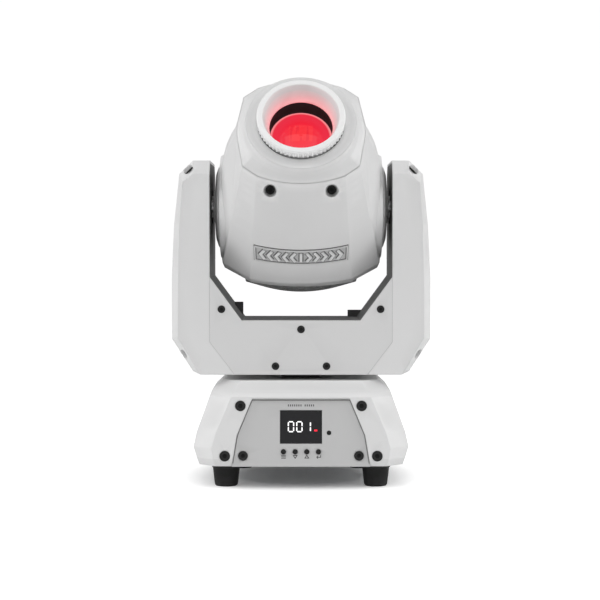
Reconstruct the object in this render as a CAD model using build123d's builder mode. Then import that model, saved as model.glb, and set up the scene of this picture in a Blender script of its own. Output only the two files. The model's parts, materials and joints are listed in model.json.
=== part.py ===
from build123d import *
import math
import os

# Compact moving head light, millimetres. +Z is up and the control panel faces -Y. Heights below are
# above the floor; the finished pieces are exported with the origin on the pan axis at the underside
# of the base plate. At rest the beam leans 31 degrees above the horizontal.

# ---------------------------------------------------------------- driving dimensions
BEAM_ELEVATION = 31.0          # rest angle of the beam above the horizontal
TILT_AXIS_Z = 269.0            # height of the tilt axis above the floor

FOOT_HEIGHT = 21.0
FOOT_TOP_R = 14.0
FOOT_BOTTOM_R = 11.2
FOOT_SEAT_Z = 9.0              # where the foot screw sits inside the foot
FOOT_FRONT_X, FOOT_FRONT_Y = 71.8, -66.0
FOOT_REAR_X, FOOT_REAR_Y = 61.0, 60.0

BASE_TOP = 100.0
WALL = 3.0                     # base and head shell wall
LIGHT_WALL = 2.5               # yoke cover wall
FACE_LOW_Z, FACE_LOW_Y = 28.0, 91.7      # lower edge of the leaning front and rear faces
FACE_HIGH_Z, FACE_HIGH_Y = 86.0, 79.7
FACE_SLOPE = (FACE_LOW_Y - FACE_HIGH_Y) / (FACE_HIGH_Z - FACE_LOW_Z)
# plan sections of the base: height, half width, half depth, corner chamfer
BASE_SECTIONS = [
    (FOOT_HEIGHT, 97.4, 87.0, 15.5),
    (FACE_LOW_Z, 99.8, FACE_LOW_Y, 17.0),
    (38.0, 103.2, FACE_LOW_Y - 10.0 * FACE_SLOPE, 18.5),
    (52.0, 100.2, FACE_LOW_Y - 24.0 * FACE_SLOPE, 19.3),
    (FACE_HIGH_Z, 88.0, FACE_HIGH_Y, 21.5),
    (90.0, 86.6, 71.0, 20.5),
    (BASE_TOP, 76.0, 59.0, 17.5),
]
BASE_CEILING = (97.0, 79.2, 62.6, 18.4)  # the top section of the hollow
PANEL_THICKNESS = 2.5
PANEL_LAP = 4.0                # how far a panel runs behind the shell round its window
BASE_PLATE_TOP = FOOT_HEIGHT + 3.0

SCREW_R, SCREW_HOLE_R = 2.0, 2.05
PANEL_SCREW_HEAD_R, FRAME_SCREW_HEAD_R, CROSSBAR_SCREW_HEAD_R, ARM_SCREW_HEAD_R = 4.5, 5.0, 3.65, 4.9
HEAD_PLAY = 0.1                # room round a recessed screw head
POST_R, POST_BORE = 10.0, 6.0
POST_BOTTOM, POST_TOP = 84.0, 128.0
PULLEY_PITCH = 2.0             # toothed belt pitch
PAN_TEETH, TILT_TEETH, MOTOR_TEETH = 100, 60, 20
RUNNING = 0.05                 # radial running clearance

YOKE_BOTTOM, YOKE_TOP = 105.3, 313.0
YOKE_HALF_DEPTH, YOKE_EDGE_Y = 53.0, 40.5    # front face, and where its bevels reach full size
ARM_INNER = 88.4               # half the clear width between the arms
CROSSBAR_TOP = 158.0
BEARING_R, BEARING_BORE, BEARING_WIDTH = 16.0, 10.0, 7.0
TILT_BEARING_R, TILT_BEARING_BORE, TILT_BEARING_WIDTH = 12.0, 7.5, 5.0
SHAFT_R, SHAFT_BORE = TILT_BEARING_BORE - RUNNING, 4.5
FRAME_PLATE = 3.0
PAN_MOTOR_X = 62.0
TILT_MOTOR_Z = 142.2
MOTOR_SIZE = 42.3

LENS_R = 29.2
RING_R, RING_FRONT, RING_BACK = 40.7, 155.0, 146.0
KNURLS, KNURL_R, KNURL_END = 60, 1.5, 2.5    # grip notches, and the plain rim in front of them
RAIL_OUTER, RAIL_THICKNESS = 62.0, 3.0
RAIL_RELIEF = 1.0               # how much thinner the rails are at the front, to clear the head shells
WHEEL_R, WHEEL_OFFSET = 40.0, 30.0
ROD_X, ROD_R = 44.0, 2.5

# ---------------------------------------------------------------- planes
HEAD = Plane(
    origin=(0, 0, TILT_AXIS_Z),
    x_dir=(1, 0, 0),
    z_dir=(0, -math.cos(math.radians(BEAM_ELEVATION)), math.sin(math.radians(BEAM_ELEVATION))),
)
BEAM_PROFILE = Plane(origin=HEAD.origin, x_dir=HEAD.x_dir, z_dir=-HEAD.y_dir)   # radius, distance
BEAM_AXIS = Axis(HEAD.origin, HEAD.z_dir)
LEAN = math.atan2(FACE_LOW_Y - FACE_HIGH_Y, FACE_HIGH_Z - FACE_LOW_Z)
FRONT_FACE = Plane(
    origin=(0, -FACE_LOW_Y, FACE_LOW_Z),
    x_dir=(1, 0, 0),
    z_dir=(0, -math.cos(LEAN), math.sin(LEAN)),
)
REAR_FACE = Plane(
    origin=(0, FACE_LOW_Y, FACE_LOW_Z),
    x_dir=(-1, 0, 0),
    z_dir=(0, math.cos(LEAN), math.sin(LEAN)),
)


def at(plane, x=0.0, y=0.0, z=0.0):
    """The plane moved by its own local x, y and z."""
    origin = plane.from_local_coords(Vector(x, y, z))
    return Plane(origin=origin, x_dir=plane.x_dir, z_dir=plane.z_dir)


def face_plane(plane, x, height, depth=0.0):
    """A plane on a leaning face, given the world height of its origin and its depth below the face."""
    return at(plane, x, (height - FACE_LOW_Z) / math.cos(LEAN), -depth)


def side_plane(x, z=TILT_AXIS_Z):
    """A plane facing away from the middle, at a signed x, about a sideways axis."""
    return Plane(origin=(x, 0, z), x_dir=(0, 1, 0), z_dir=(math.copysign(1, x), 0, 0))


# ---------------------------------------------------------------- small solids
def disc(plane, radius, height, bore=0.0, mode=Mode.ADD):
    """A disc or ring standing on the plane."""
    with BuildSketch(plane) as outline:
        Circle(radius)
        if bore:
            Circle(bore, mode=Mode.SUBTRACT)
    extrude(outline.sketch, amount=height, mode=mode)


def block(plane, width, depth, height, mode=Mode.ADD, rounding=0.0):
    """A block standing on the plane, centred on its origin."""
    with BuildSketch(plane) as outline:
        if rounding:
            RectangleRounded(width, depth, rounding)
        else:
            Rectangle(width, depth)
    extrude(outline.sketch, amount=height, mode=mode)


def prism_solid(plane, points, height, mode=Mode.ADD, both=False):
    """A solid with a polygon outline."""
    with BuildSketch(plane) as outline:
        with BuildLine():
            Polyline(points, close=True)
        make_face()
    extrude(outline.sketch, amount=height, both=both, mode=mode)


def screw(plane, head_r, head_h, shank_r, shank_l):
    """A socket screw whose head stands on the plane."""
    disc(plane, head_r, head_h)
    disc(plane, shank_r, -shank_l)
    with BuildSketch(at(plane, z=head_h)) as socket:
        RegularPolygon(head_r * 0.48, 6)
    extrude(socket.sketch, amount=-head_h * 0.6, mode=Mode.SUBTRACT)


def screw_hole(plane, head_r, shank_r, depth):
    """The seat of a recessed screw: head room above the plane and a shank hole below it."""
    disc(plane, head_r, 30.0, mode=Mode.SUBTRACT)
    disc(plane, shank_r, -depth, mode=Mode.SUBTRACT)


def dome(radius, base, height):
    """An arc from the rim of a spherical cap to its top on the axis; a negative height faces down."""
    sphere = (radius ** 2 + height ** 2) / (2 * abs(height))
    half_angle = math.asin(radius / sphere) / 2
    sign = math.copysign(1, height)
    middle = (sphere * math.sin(half_angle), base + height - sign * sphere * (1 - math.cos(half_angle)))
    ThreePointArc((radius, base), middle, (0.0, base + height))


def mirrored(points):
    """Points for x > 0, top to bottom, closed by their mirror image."""
    return points + [(-x, y) for x, y in reversed(points)]


# ---------------------------------------------------------------- base
def base_outline(height, half_width, half_depth, corner, inset=0.0):
    """One plan section of the base, a rectangle with cut corners."""
    w, d, c = half_width - inset, half_depth - inset, corner - inset * 0.5
    right = [(w - c, -d), (w, c - d), (w, d - c), (w - c, d)]
    return right + [(-x, y) for x, y in reversed(right)]


def base_block(sections, inset=0.0):
    """The base as a solid through its plan sections."""
    with BuildPart() as body:
        for height, half_width, half_depth, corner in sections:
            with BuildSketch(Plane.XY.offset(height)):
                with BuildLine():
                    Polyline(base_outline(height, half_width, half_depth, corner, inset), close=True)
                make_face()
        loft(ruled=True)
    return body.part


PANEL_LOW_X = 65.7              # half width of the window at the bottom edge
PANEL_LAP_END = (64.4, 29.0)    # below this height the panel only fills the window


def panel_window():
    """The window of the shell in front of a panel, in width and height."""
    return mirrored([(46.5, 84.6), (61.0, 50.0), (PANEL_LOW_X, FOOT_HEIGHT)])


def panel_outline():
    """The panel itself, which laps behind the shell above its lower end."""
    end_x, end_z = PANEL_LAP_END
    return mirrored([(46.5 + PANEL_LAP, 85.8), (61.0 + PANEL_LAP, 50.0), (end_x + PANEL_LAP, end_z),
                     (end_x - RUNNING, end_z), (PANEL_LOW_X - RUNNING, FOOT_HEIGHT)])


def panel_sheet(side):
    """A leaning panel behind the window on one side: -1 is the front, +1 the rear."""
    low_y = FACE_LOW_Y + (FACE_LOW_Z - FOOT_HEIGHT) * FACE_SLOPE - WALL
    high_y = FACE_HIGH_Y - WALL
    outline = [
        (side * low_y, FOOT_HEIGHT),
        (side * high_y, FACE_HIGH_Z),
        (side * (high_y - PANEL_THICKNESS), FACE_HIGH_Z),
        (side * (low_y - PANEL_THICKNESS), FOOT_HEIGHT),
    ]
    with BuildPart() as sheet:
        prism_solid(Plane.YZ, outline, 90.0, both=True)
        prism_solid(Plane.XZ, panel_outline(), 120.0, mode=Mode.INTERSECT, both=True)
    return sheet.part


FRAME_SCREWS = [(57.7, 77.9), (72.2, 31.2)]
FRAME_SCREW_PLANES = [
    face_plane(face, sign * x, z, 1.5)
    for face in (FRONT_FACE, REAR_FACE)
    for x, z in FRAME_SCREWS
    for sign in (-1, 1)
]
PANEL_SCREW_PLANES = [
    face_plane(face, sign * x, z, WALL * math.cos(LEAN) + 0.6)
    for face, x, z in ((FRONT_FACE, 55.0, 31.7), (REAR_FACE, 47.0, 70.0))
    for sign in (-1, 1)
]
BUTTON_X = {"menu": -16.6, "down": -5.5, "up": 5.5, "enter": 16.6}
BUTTON_Z, BUTTON_R = 35.4, 2.4
PANEL_DEPTH = WALL * math.cos(LEAN)
DISPLAY_Z = 58.6

with BuildPart() as base_shell:
    add(base_block(BASE_SECTIONS))
    add(base_block(BASE_SECTIONS[:-1] + [BASE_CEILING], WALL), mode=Mode.SUBTRACT)
    for plane in (Plane.XZ, Plane.XZ.offset(-100.0)):
        prism_solid(plane, panel_window(), 100.0, mode=Mode.SUBTRACT)
    disc(Plane.XY.offset(90.0), POST_R + 0.5, 20.0, mode=Mode.SUBTRACT)
    for plane in FRAME_SCREW_PLANES:
        screw_hole(plane, FRAME_SCREW_HEAD_R + HEAD_PLAY, SCREW_HOLE_R, 10.0)
base_shell.part.label = "base_shell"

with BuildPart() as base_plate:
    with BuildSketch(Plane.XY.offset(FOOT_HEIGHT)):
        with BuildLine():
            Polyline(base_outline(FOOT_HEIGHT, 94.3, 81.4, 14.0), close=True)
        make_face()
    extrude(amount=BASE_PLATE_TOP - FOOT_HEIGHT)
    with BuildSketch(Plane.XY.offset(FOOT_HEIGHT)):
        with PolarLocations(53.0, 4, start_angle=45):
            Circle(6.0)
        with GridLocations(14.0, 7.0, 5, 2):
            SlotOverall(10.0, 2.5)
    extrude(amount=10.0, mode=Mode.SUBTRACT)
    FEET = [(-FOOT_FRONT_X, FOOT_FRONT_Y), (FOOT_FRONT_X, FOOT_FRONT_Y),
            (-FOOT_REAR_X, FOOT_REAR_Y), (FOOT_REAR_X, FOOT_REAR_Y)]
    for x, y in FEET:
        disc(at(Plane.XY, x, y, FOOT_HEIGHT), 2.0, 10.0, mode=Mode.SUBTRACT)
base_plate.part.label = "base_plate"

with BuildPart() as rubber_feet:
    for x, y in FEET:
        with BuildSketch(at(Plane.XZ, x, 0.0, -y)) as profile:
            with BuildLine():
                Polyline([(4.5, 0), (FOOT_BOTTOM_R - 1.2, 0), (FOOT_BOTTOM_R, 1.5), (FOOT_TOP_R - 1.0, 17.5),
                          (FOOT_TOP_R, 18.2), (FOOT_TOP_R, FOOT_HEIGHT), (SCREW_HOLE_R, FOOT_HEIGHT),
                          (SCREW_HOLE_R, FOOT_SEAT_Z), (4.5, FOOT_SEAT_Z)], close=True)
            make_face()
        revolve(profile.sketch, axis=Axis((x, y, 0), (0, 0, 1)))
rubber_feet.part.label = "rubber_feet"

with BuildPart() as base_chassis:
    with BuildSketch(Plane.XY.offset(81.0)):
        with BuildLine():
            Polyline(base_outline(81.0, 77.0, 72.0, 12.0), close=True)
        make_face()
    extrude(amount=POST_BOTTOM - 81.0)
    for side in (-1, 1):
        block(at(Plane.XY, side * 54.0, -67.5, BASE_PLATE_TOP), 24.0, 9.0, 81.0 - BASE_PLATE_TOP)
        block(at(Plane.XY, side * 62.5, 67.5, BASE_PLATE_TOP), 7.0, 9.0, 81.0 - BASE_PLATE_TOP)
        block(at(Plane.XY, side * 54.0, 67.5, 58.0), 24.0, 9.0, 81.0 - 58.0)
        for y in (-67.5, 67.5):
            block(at(Plane.XY, side * 71.0, y, BASE_PLATE_TOP), 18.0, 9.0, 16.0)
    disc(Plane.XY.offset(70.0), POST_BORE, 30.0, mode=Mode.SUBTRACT)
    for plane in FRAME_SCREW_PLANES + PANEL_SCREW_PLANES:
        disc(plane, 2.0, -30.0, mode=Mode.SUBTRACT)
base_chassis.part.label = "base_chassis"

control_panel = BuildPart()
with control_panel:
    add(panel_sheet(-1))
    block(face_plane(FRONT_FACE, 0, DISPLAY_Z, 10.0), 40.0, 32.0, 12.0, mode=Mode.SUBTRACT)
    for x in BUTTON_X.values():
        disc(face_plane(FRONT_FACE, x, BUTTON_Z, 10.0), BUTTON_R + RUNNING, 12.0, mode=Mode.SUBTRACT)
    disc(face_plane(FRONT_FACE, 26.6, 53.0, 10.0), 2.2, 12.0, mode=Mode.SUBTRACT)
    for plane in PANEL_SCREW_PLANES[:2]:
        screw_hole(plane, PANEL_SCREW_HEAD_R + HEAD_PLAY, SCREW_HOLE_R, 10.0)
control_panel.part.label = "control_panel"

INLET_X, INLET_Z, OUTLET_X = 43.5, 42.0, -43.5
DATA_X, DATA_Z = 13.5, 64.0

with BuildPart() as rear_panel:
    add(panel_sheet(1))
    for x in (INLET_X, OUTLET_X):
        block(face_plane(REAR_FACE, x, INLET_Z, 12.0), 28.0, 20.5, 14.0, mode=Mode.SUBTRACT)
    for x in (-DATA_X, DATA_X):
        disc(face_plane(REAR_FACE, x, DATA_Z, 12.0), 11.8, 14.0, mode=Mode.SUBTRACT)
    for plane in PANEL_SCREW_PLANES[2:]:
        screw_hole(plane, PANEL_SCREW_HEAD_R + HEAD_PLAY, SCREW_HOLE_R, 10.0)
rear_panel.part.label = "rear_panel"

with BuildPart() as base_screws:
    for plane in FRAME_SCREW_PLANES:
        screw(plane, FRAME_SCREW_HEAD_R, 1.6, SCREW_R, 22.0)
    for plane in PANEL_SCREW_PLANES:
        screw(plane, PANEL_SCREW_HEAD_R, 1.4, SCREW_R, 18.0)
    for x, y in FEET:
        foot_seat = Plane(origin=(x, y, FOOT_SEAT_Z), x_dir=(1, 0, 0), z_dir=(0, 0, -1))
        screw(foot_seat, 3.8, 3.0, SCREW_R, 15.0)
base_screws.part.label = "base_screws"

with BuildPart() as display_module:
    block(face_plane(FRONT_FACE, 0, DISPLAY_Z, PANEL_DEPTH + PANEL_THICKNESS + 3.0), 46.0, 38.0, 3.0)
    block(face_plane(FRONT_FACE, 0, DISPLAY_Z, PANEL_DEPTH + PANEL_THICKNESS), 39.6, 31.6, 1.9)
display_module.part.label = "display_module"

BUTTON_FLANGE, BUTTON_TRAVEL = 1.0, 0.8
buttons = {}
for button_name, x in BUTTON_X.items():
    with BuildPart() as button:
        disc(face_plane(FRONT_FACE, x, BUTTON_Z, PANEL_DEPTH - 1.2), BUTTON_R, -(PANEL_THICKNESS + 1.2))
        disc(face_plane(FRONT_FACE, x, BUTTON_Z, PANEL_DEPTH + PANEL_THICKNESS), 3.4, -BUTTON_FLANGE)
    button.part.label = "button_" + button_name
    buttons[button_name] = button.part

BOARD_GAP, SWITCH_PLAY = 3.0, 0.1
BOARD_DEPTH = PANEL_DEPTH + PANEL_THICKNESS + BOARD_GAP
SWITCH_HEIGHT = BOARD_GAP - BUTTON_FLANGE - BUTTON_TRAVEL - SWITCH_PLAY
with BuildPart() as display_board:
    block(face_plane(FRONT_FACE, 0, 54.0, BOARD_DEPTH + 1.6), 76.0, 50.0, 1.6)
    for x in BUTTON_X.values():
        switch = face_plane(FRONT_FACE, x, BUTTON_Z, BOARD_DEPTH)
        block(switch, 6.0, 6.0, SWITCH_HEIGHT)
    disc(face_plane(FRONT_FACE, 26.6, 53.0, BOARD_DEPTH), 2.4, 2.8)
display_board.part.label = "display_board"

with BuildPart() as power_supply:
    block(at(Plane.XY, 0, -12.0, BASE_PLATE_TOP), 150.0, 78.0, 34.0)
    with BuildSketch(Plane.XY.offset(BASE_PLATE_TOP + 34.0)):
        with GridLocations(12.0, 14.0, 10, 4):
            with Locations((0, -12.0)):
                Circle(3.0)
    extrude(amount=-1.5, mode=Mode.SUBTRACT)
power_supply.part.label = "power_supply"


def mains_connector(x, pin_pattern):
    """A mains connector: a flange on the rear panel and a body behind it."""
    front = face_plane(REAR_FACE, x, INLET_Z, PANEL_DEPTH)
    block(front, 33.0, 25.0, 2.0, rounding=3.0)
    block(front, 27.6, 20.0, -20.0)
    block(at(front, z=2.0), 23.0, 15.0, -14.0, mode=Mode.SUBTRACT, rounding=3.0)
    with BuildSketch(at(front, z=-12.0)) as pins:
        with Locations(*pin_pattern):
            Rectangle(2.0, 4.5)
    extrude(pins.sketch, amount=10.0)


PINS = [(-6.0, -1.5), (0.0, 2.0), (6.0, -1.5)]
with BuildPart() as power_sockets:
    mains_connector(INLET_X, PINS)
    mains_connector(OUTLET_X, [(-x, -y) for x, y in PINS])
power_sockets.part.label = "power_sockets"


def data_socket(x, bore):
    """A three-pole data socket with a square flange."""
    front = face_plane(REAR_FACE, x, DATA_Z, PANEL_DEPTH)
    block(front, 26.0, 30.0, 2.0, rounding=2.5)
    disc(front, 11.6, -22.0)
    disc(at(front, z=2.0), bore, -15.0, mode=Mode.SUBTRACT)


LATCH_PLANE = face_plane(REAR_FACE, -DATA_X, DATA_Z, PANEL_DEPTH)
POLES = [(4.5 * math.cos(math.radians(a)), 4.5 * math.sin(math.radians(a))) for a in (90, 210, 330)]
with BuildPart() as data_sockets:
    data_socket(DATA_X, 9.5)
    for x, y in POLES:
        disc(at(face_plane(REAR_FACE, DATA_X, DATA_Z, PANEL_DEPTH + 13.0), x, y), 1.2, 11.0)
    data_socket(-DATA_X, 9.5)
    disc(at(LATCH_PLANE, z=-13.0), 8.0, 13.0)
    for x, y in POLES:
        disc(at(LATCH_PLANE, x, y), 1.5, -9.0, mode=Mode.SUBTRACT)
    block(at(LATCH_PLANE, y=12.2, z=2.0), 6.9, 3.1, 1.5)
data_sockets.part.label = "data_sockets"


# ---------------------------------------------------------------- pan drive
def pitch_radius(teeth):
    """The pitch radius of a toothed pulley."""
    return teeth * PULLEY_PITCH / (2 * math.pi)


def toothed_wheel(plane, teeth, height, bore):
    """A toothed pulley body with round tooth gaps."""
    tip = pitch_radius(teeth) - 0.25
    with BuildSketch(plane) as outline:
        Circle(tip)
        Circle(bore, mode=Mode.SUBTRACT)
        with PolarLocations(tip + 0.05, teeth):
            Circle(0.6, mode=Mode.SUBTRACT)
    extrude(outline.sketch, amount=height)


def belt_band(plane, big, small, distance, width):
    """A closed belt round two pulleys, the second one at local x = distance."""
    with BuildSketch(plane) as band:
        with BuildSketch(mode=Mode.PRIVATE) as outer:
            Circle(big + 1.3)
            with Locations((distance, 0)):
                Circle(small + 1.3)
            make_hull()
        with BuildSketch(mode=Mode.PRIVATE) as inner:
            Circle(big)
            with Locations((distance, 0)):
                Circle(small)
            make_hull()
        add(outer.sketch)
        add(inner.sketch, mode=Mode.SUBTRACT)
    extrude(band.sketch, amount=width)


PAN_TIP = pitch_radius(PAN_TEETH) - 0.25
TILT_TIP = pitch_radius(TILT_TEETH) - 0.25
MOTOR_TIP = pitch_radius(MOTOR_TEETH) - 0.25
PAN_PULLEY_Z = BASE_TOP
BELT_LOW, BELT_WIDTH = 108.4, 5.2

with BuildPart() as pan_post:
    disc(Plane.XY.offset(POST_BOTTOM), 22.0, 3.0, bore=POST_BORE)
    disc(Plane.XY.offset(POST_BOTTOM), POST_R, POST_TOP - POST_BOTTOM, bore=POST_BORE)
pan_post.part.label = "pan_post"

with BuildPart() as pan_pulley:
    disc(Plane.XY.offset(PAN_PULLEY_Z), 20.0, 4.0, bore=POST_R)
    with BuildSketch(Plane.XY.offset(PAN_PULLEY_Z + 3.0)):
        Circle(34.0)
        Circle(POST_R, mode=Mode.SUBTRACT)
        with PolarLocations(34.2, 120):
            Circle(0.6, mode=Mode.SUBTRACT)
    extrude(amount=4.8)
    toothed_wheel(Plane.XY.offset(107.8), PAN_TEETH, 6.6, POST_R)
    disc(Plane.XY.offset(114.4), 33.0, 1.0, bore=POST_R)
    disc(Plane.XY.offset(115.4), 12.0, 1.55, bore=POST_R)
pan_pulley.part.label = "pan_pulley"

with BuildPart() as pan_bearing:
    disc(Plane.XY.offset(117.0), BEARING_R, BEARING_WIDTH, bore=BEARING_BORE + RUNNING)
pan_bearing.part.label = "pan_bearing"

# ---------------------------------------------------------------- yoke
# half outlines of the yoke, width and height: at its full size and at its bevelled front face
YOKE_OUTER = [(105.0, YOKE_TOP), (118.4, 300.0), (123.6, 250.0), (126.0, 200.0), (126.0, 139.5),
              (105.6, 107.8), (100.6, YOKE_BOTTOM)]
YOKE_FACE = [(104.6, 299.5), (114.6, 291.0), (117.4, 250.0), (118.8, 200.0), (119.2, 141.0),
             (101.6, 111.0), (97.6, YOKE_BOTTOM)]
INNER_U = [(ARM_INNER, YOKE_TOP), (ARM_INNER, 200.0), (57.6, CROSSBAR_TOP)]


def inset_outline(points, inset):
    """A convex outline moved inwards by the inset; its points run clockwise."""
    lines = []
    for (x1, y1), (x2, y2) in zip(points, points[1:] + points[:1]):
        length = math.hypot(x2 - x1, y2 - y1)
        nx, ny = (y2 - y1) / length, (x1 - x2) / length
        lines.append((nx, ny, nx * x1 + ny * y1 + inset))
    moved = []
    for (a1, b1, c1), (a2, b2, c2) in zip(lines[-1:] + lines[:-1], lines):
        determinant = a1 * b2 - a2 * b1
        moved.append(((c1 * b2 - c2 * b1) / determinant, (a1 * c2 - a2 * c1) / determinant))
    return moved


def yoke_block(inset=0.0):
    """The yoke with its bevelled faces, filled solid, and smaller all round by the inset."""
    face_y, edge_y = YOKE_HALF_DEPTH - inset, YOKE_EDGE_Y - inset * 0.4
    with BuildPart() as body:
        stations = [(face_y, YOKE_FACE), (edge_y, YOKE_OUTER), (-edge_y, YOKE_OUTER), (-face_y, YOKE_FACE)]
        for y, half in stations:
            with BuildSketch(Plane.XZ.offset(y)):
                with BuildLine():
                    Polyline(inset_outline(mirrored(half), inset), close=True)
                make_face()
        loft(ruled=True)
    return body.part


U_SLOT = INNER_U + [(-x, z) for x, z in reversed(INNER_U)]
U_SLOT[0], U_SLOT[-1] = (ARM_INNER, YOKE_TOP + 10), (-ARM_INNER, YOKE_TOP + 10)
SLOPE = math.atan2(200.0 - CROSSBAR_TOP, ARM_INNER - 57.6)
LINER_SHIFT = LIGHT_WALL * math.tan((math.pi / 2 - SLOPE) / 2)
U_BACK = [(ARM_INNER + LIGHT_WALL, YOKE_TOP + 10), (ARM_INNER + LIGHT_WALL, 200.0 - LINER_SHIFT),
          (57.6 + LIGHT_WALL * math.tan(SLOPE / 2), CROSSBAR_TOP - LIGHT_WALL)]
U_OUTER = U_BACK + [(-x, z) for x, z in reversed(U_BACK)]
CROSSBAR_PLATE = [(ARM_INNER, 200.0), (57.6, CROSSBAR_TOP), (-57.6, CROSSBAR_TOP), (-ARM_INNER, 200.0),
                  (-ARM_INNER, 137.0), (-64.6, YOKE_BOTTOM), (64.6, YOKE_BOTTOM), (ARM_INNER, 137.0)]
COVER_Y = YOKE_HALF_DEPTH - LIGHT_WALL
yoke_outer_solid = yoke_block()
yoke_cavity_solid = yoke_block(LIGHT_WALL)

with BuildPart() as yoke_liner:
    prism_solid(Plane.XZ, U_OUTER, COVER_Y, both=True)
    prism_solid(Plane.XZ, U_SLOT, COVER_Y + 1, mode=Mode.SUBTRACT, both=True)
    add(yoke_cavity_solid, mode=Mode.INTERSECT)
    block(Plane(origin=(-63.7, 48.5, 158.0)), 8.5, 4.0, 14.7)
    block(Plane(origin=(55.5, 48.5, 156.0)), 15.0, 4.0, 8.4)
    block(Plane(origin=(-63.7, 36.0, 150.0)), 8.5, 20.0, 30.0, mode=Mode.SUBTRACT)
    block(Plane(origin=(53.0, 38.0, 150.0)), 9.0, 16.0, 20.0, mode=Mode.SUBTRACT)
    for sign in (-1, 1):
        disc(side_plane(sign * 80.0), 17.5, 20.0, mode=Mode.SUBTRACT)
yoke_liner.part.label = "yoke_liner"



def slope_plane(corner, next_corner, y, depth):
    """A plane below the middle of an outer slope of the yoke, facing out of it."""
    (x1, z1), (x2, z2) = corner, next_corner
    outward = Vector(z1 - z2, 0, x2 - x1).normalized()
    middle = Vector((x1 + x2) / 2, y, (z1 + z2) / 2)
    return Plane(origin=middle - outward * depth, x_dir=(0, 1, 0), z_dir=outward)


ARM_SCREW_DEPTH, ARM_BOSS_R = 6.0, 7.5
ARM_SCREW_PLANES = [
    slope_plane(corner, next_corner, y, ARM_SCREW_DEPTH)
    for y in (-45.0, 45.0)
    for corner, next_corner in (YOKE_OUTER[0:2], YOKE_OUTER[4:6])
]
ARM_SCREW_PLANES += [
    Plane(origin=(-p.origin.X, p.origin.Y, p.origin.Z), x_dir=(0, 1, 0), z_dir=(-p.z_dir.X, 0, p.z_dir.Z))
    for p in ARM_SCREW_PLANES
]

with BuildPart() as arm_bosses:
    for plane in ARM_SCREW_PLANES:
        disc(at(plane, z=-3.0), ARM_BOSS_R, 20.0)
    add(yoke_outer_solid, mode=Mode.INTERSECT)

with BuildPart() as arm_cover_right:
    add(yoke_outer_solid)
    add(yoke_cavity_solid, mode=Mode.SUBTRACT)
    add(arm_bosses.part)
    prism_solid(Plane.XZ, U_SLOT, COVER_Y + 10, mode=Mode.SUBTRACT, both=True)
    prism_solid(Plane.XZ, CROSSBAR_PLATE, COVER_Y + 10, mode=Mode.SUBTRACT, both=True)
    for plane in ARM_SCREW_PLANES:
        screw_hole(plane, ARM_SCREW_HEAD_R + HEAD_PLAY, SCREW_HOLE_R, 8.0)
    split(bisect_by=Plane.YZ.offset(20.0), keep=Keep.TOP)
arm_cover_right.part.label = "arm_cover_right"

with BuildPart() as arm_cover_left:
    mirror(arm_cover_right.part, about=Plane.YZ)
arm_cover_left.part.label = "arm_cover_left"

CROSSBAR_SCREWS = [(-77.0, 168.8), (77.0, 168.8), (0.0, 149.3), (-24.7, 113.6), (24.7, 113.6)]
CROSSBAR_SEAT_Y = COVER_Y + 1.2
FRONT_SCREW_PLANES = [
    Plane(origin=(x, -CROSSBAR_SEAT_Y, z), x_dir=(1, 0, 0), z_dir=(0, -1, 0)) for x, z in CROSSBAR_SCREWS
]
REAR_SCREW_PLANES = [
    Plane(origin=(x, CROSSBAR_SEAT_Y, z), x_dir=(-1, 0, 0), z_dir=(0, 1, 0)) for x, z in CROSSBAR_SCREWS
]

with BuildPart() as crossbar_cover_front:
    prism_solid(Plane.XZ.offset(COVER_Y), CROSSBAR_PLATE, LIGHT_WALL)
    for plane in FRONT_SCREW_PLANES:
        screw_hole(plane, CROSSBAR_SCREW_HEAD_R + HEAD_PLAY, SCREW_HOLE_R, 10.0)
crossbar_cover_front.part.label = "crossbar_cover_front"

with BuildPart() as crossbar_cover_rear:
    prism_solid(Plane.XZ.offset(-COVER_Y - LIGHT_WALL), CROSSBAR_PLATE, LIGHT_WALL)
    for plane in REAR_SCREW_PLANES:
        screw_hole(plane, CROSSBAR_SCREW_HEAD_R + HEAD_PLAY, SCREW_HOLE_R, 10.0)
crossbar_cover_rear.part.label = "crossbar_cover_rear"

with BuildPart() as yoke_screws:
    for plane in FRONT_SCREW_PLANES + REAR_SCREW_PLANES:
        screw(plane, CROSSBAR_SCREW_HEAD_R, 1.4, SCREW_R, 9.0)
    for plane in ARM_SCREW_PLANES:
        screw(plane, ARM_SCREW_HEAD_R, 1.6, SCREW_R, 7.0)
yoke_screws.part.label = "yoke_screws"

with BuildPart() as yoke_bottom:
    block(Plane.XY.offset(YOKE_BOTTOM), 2 * 64.5, 2 * COVER_Y, LIGHT_WALL)
    disc(Plane.XY.offset(YOKE_BOTTOM - 1), 35.5, 10.0, mode=Mode.SUBTRACT)
yoke_bottom.part.label = "yoke_bottom"

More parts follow.
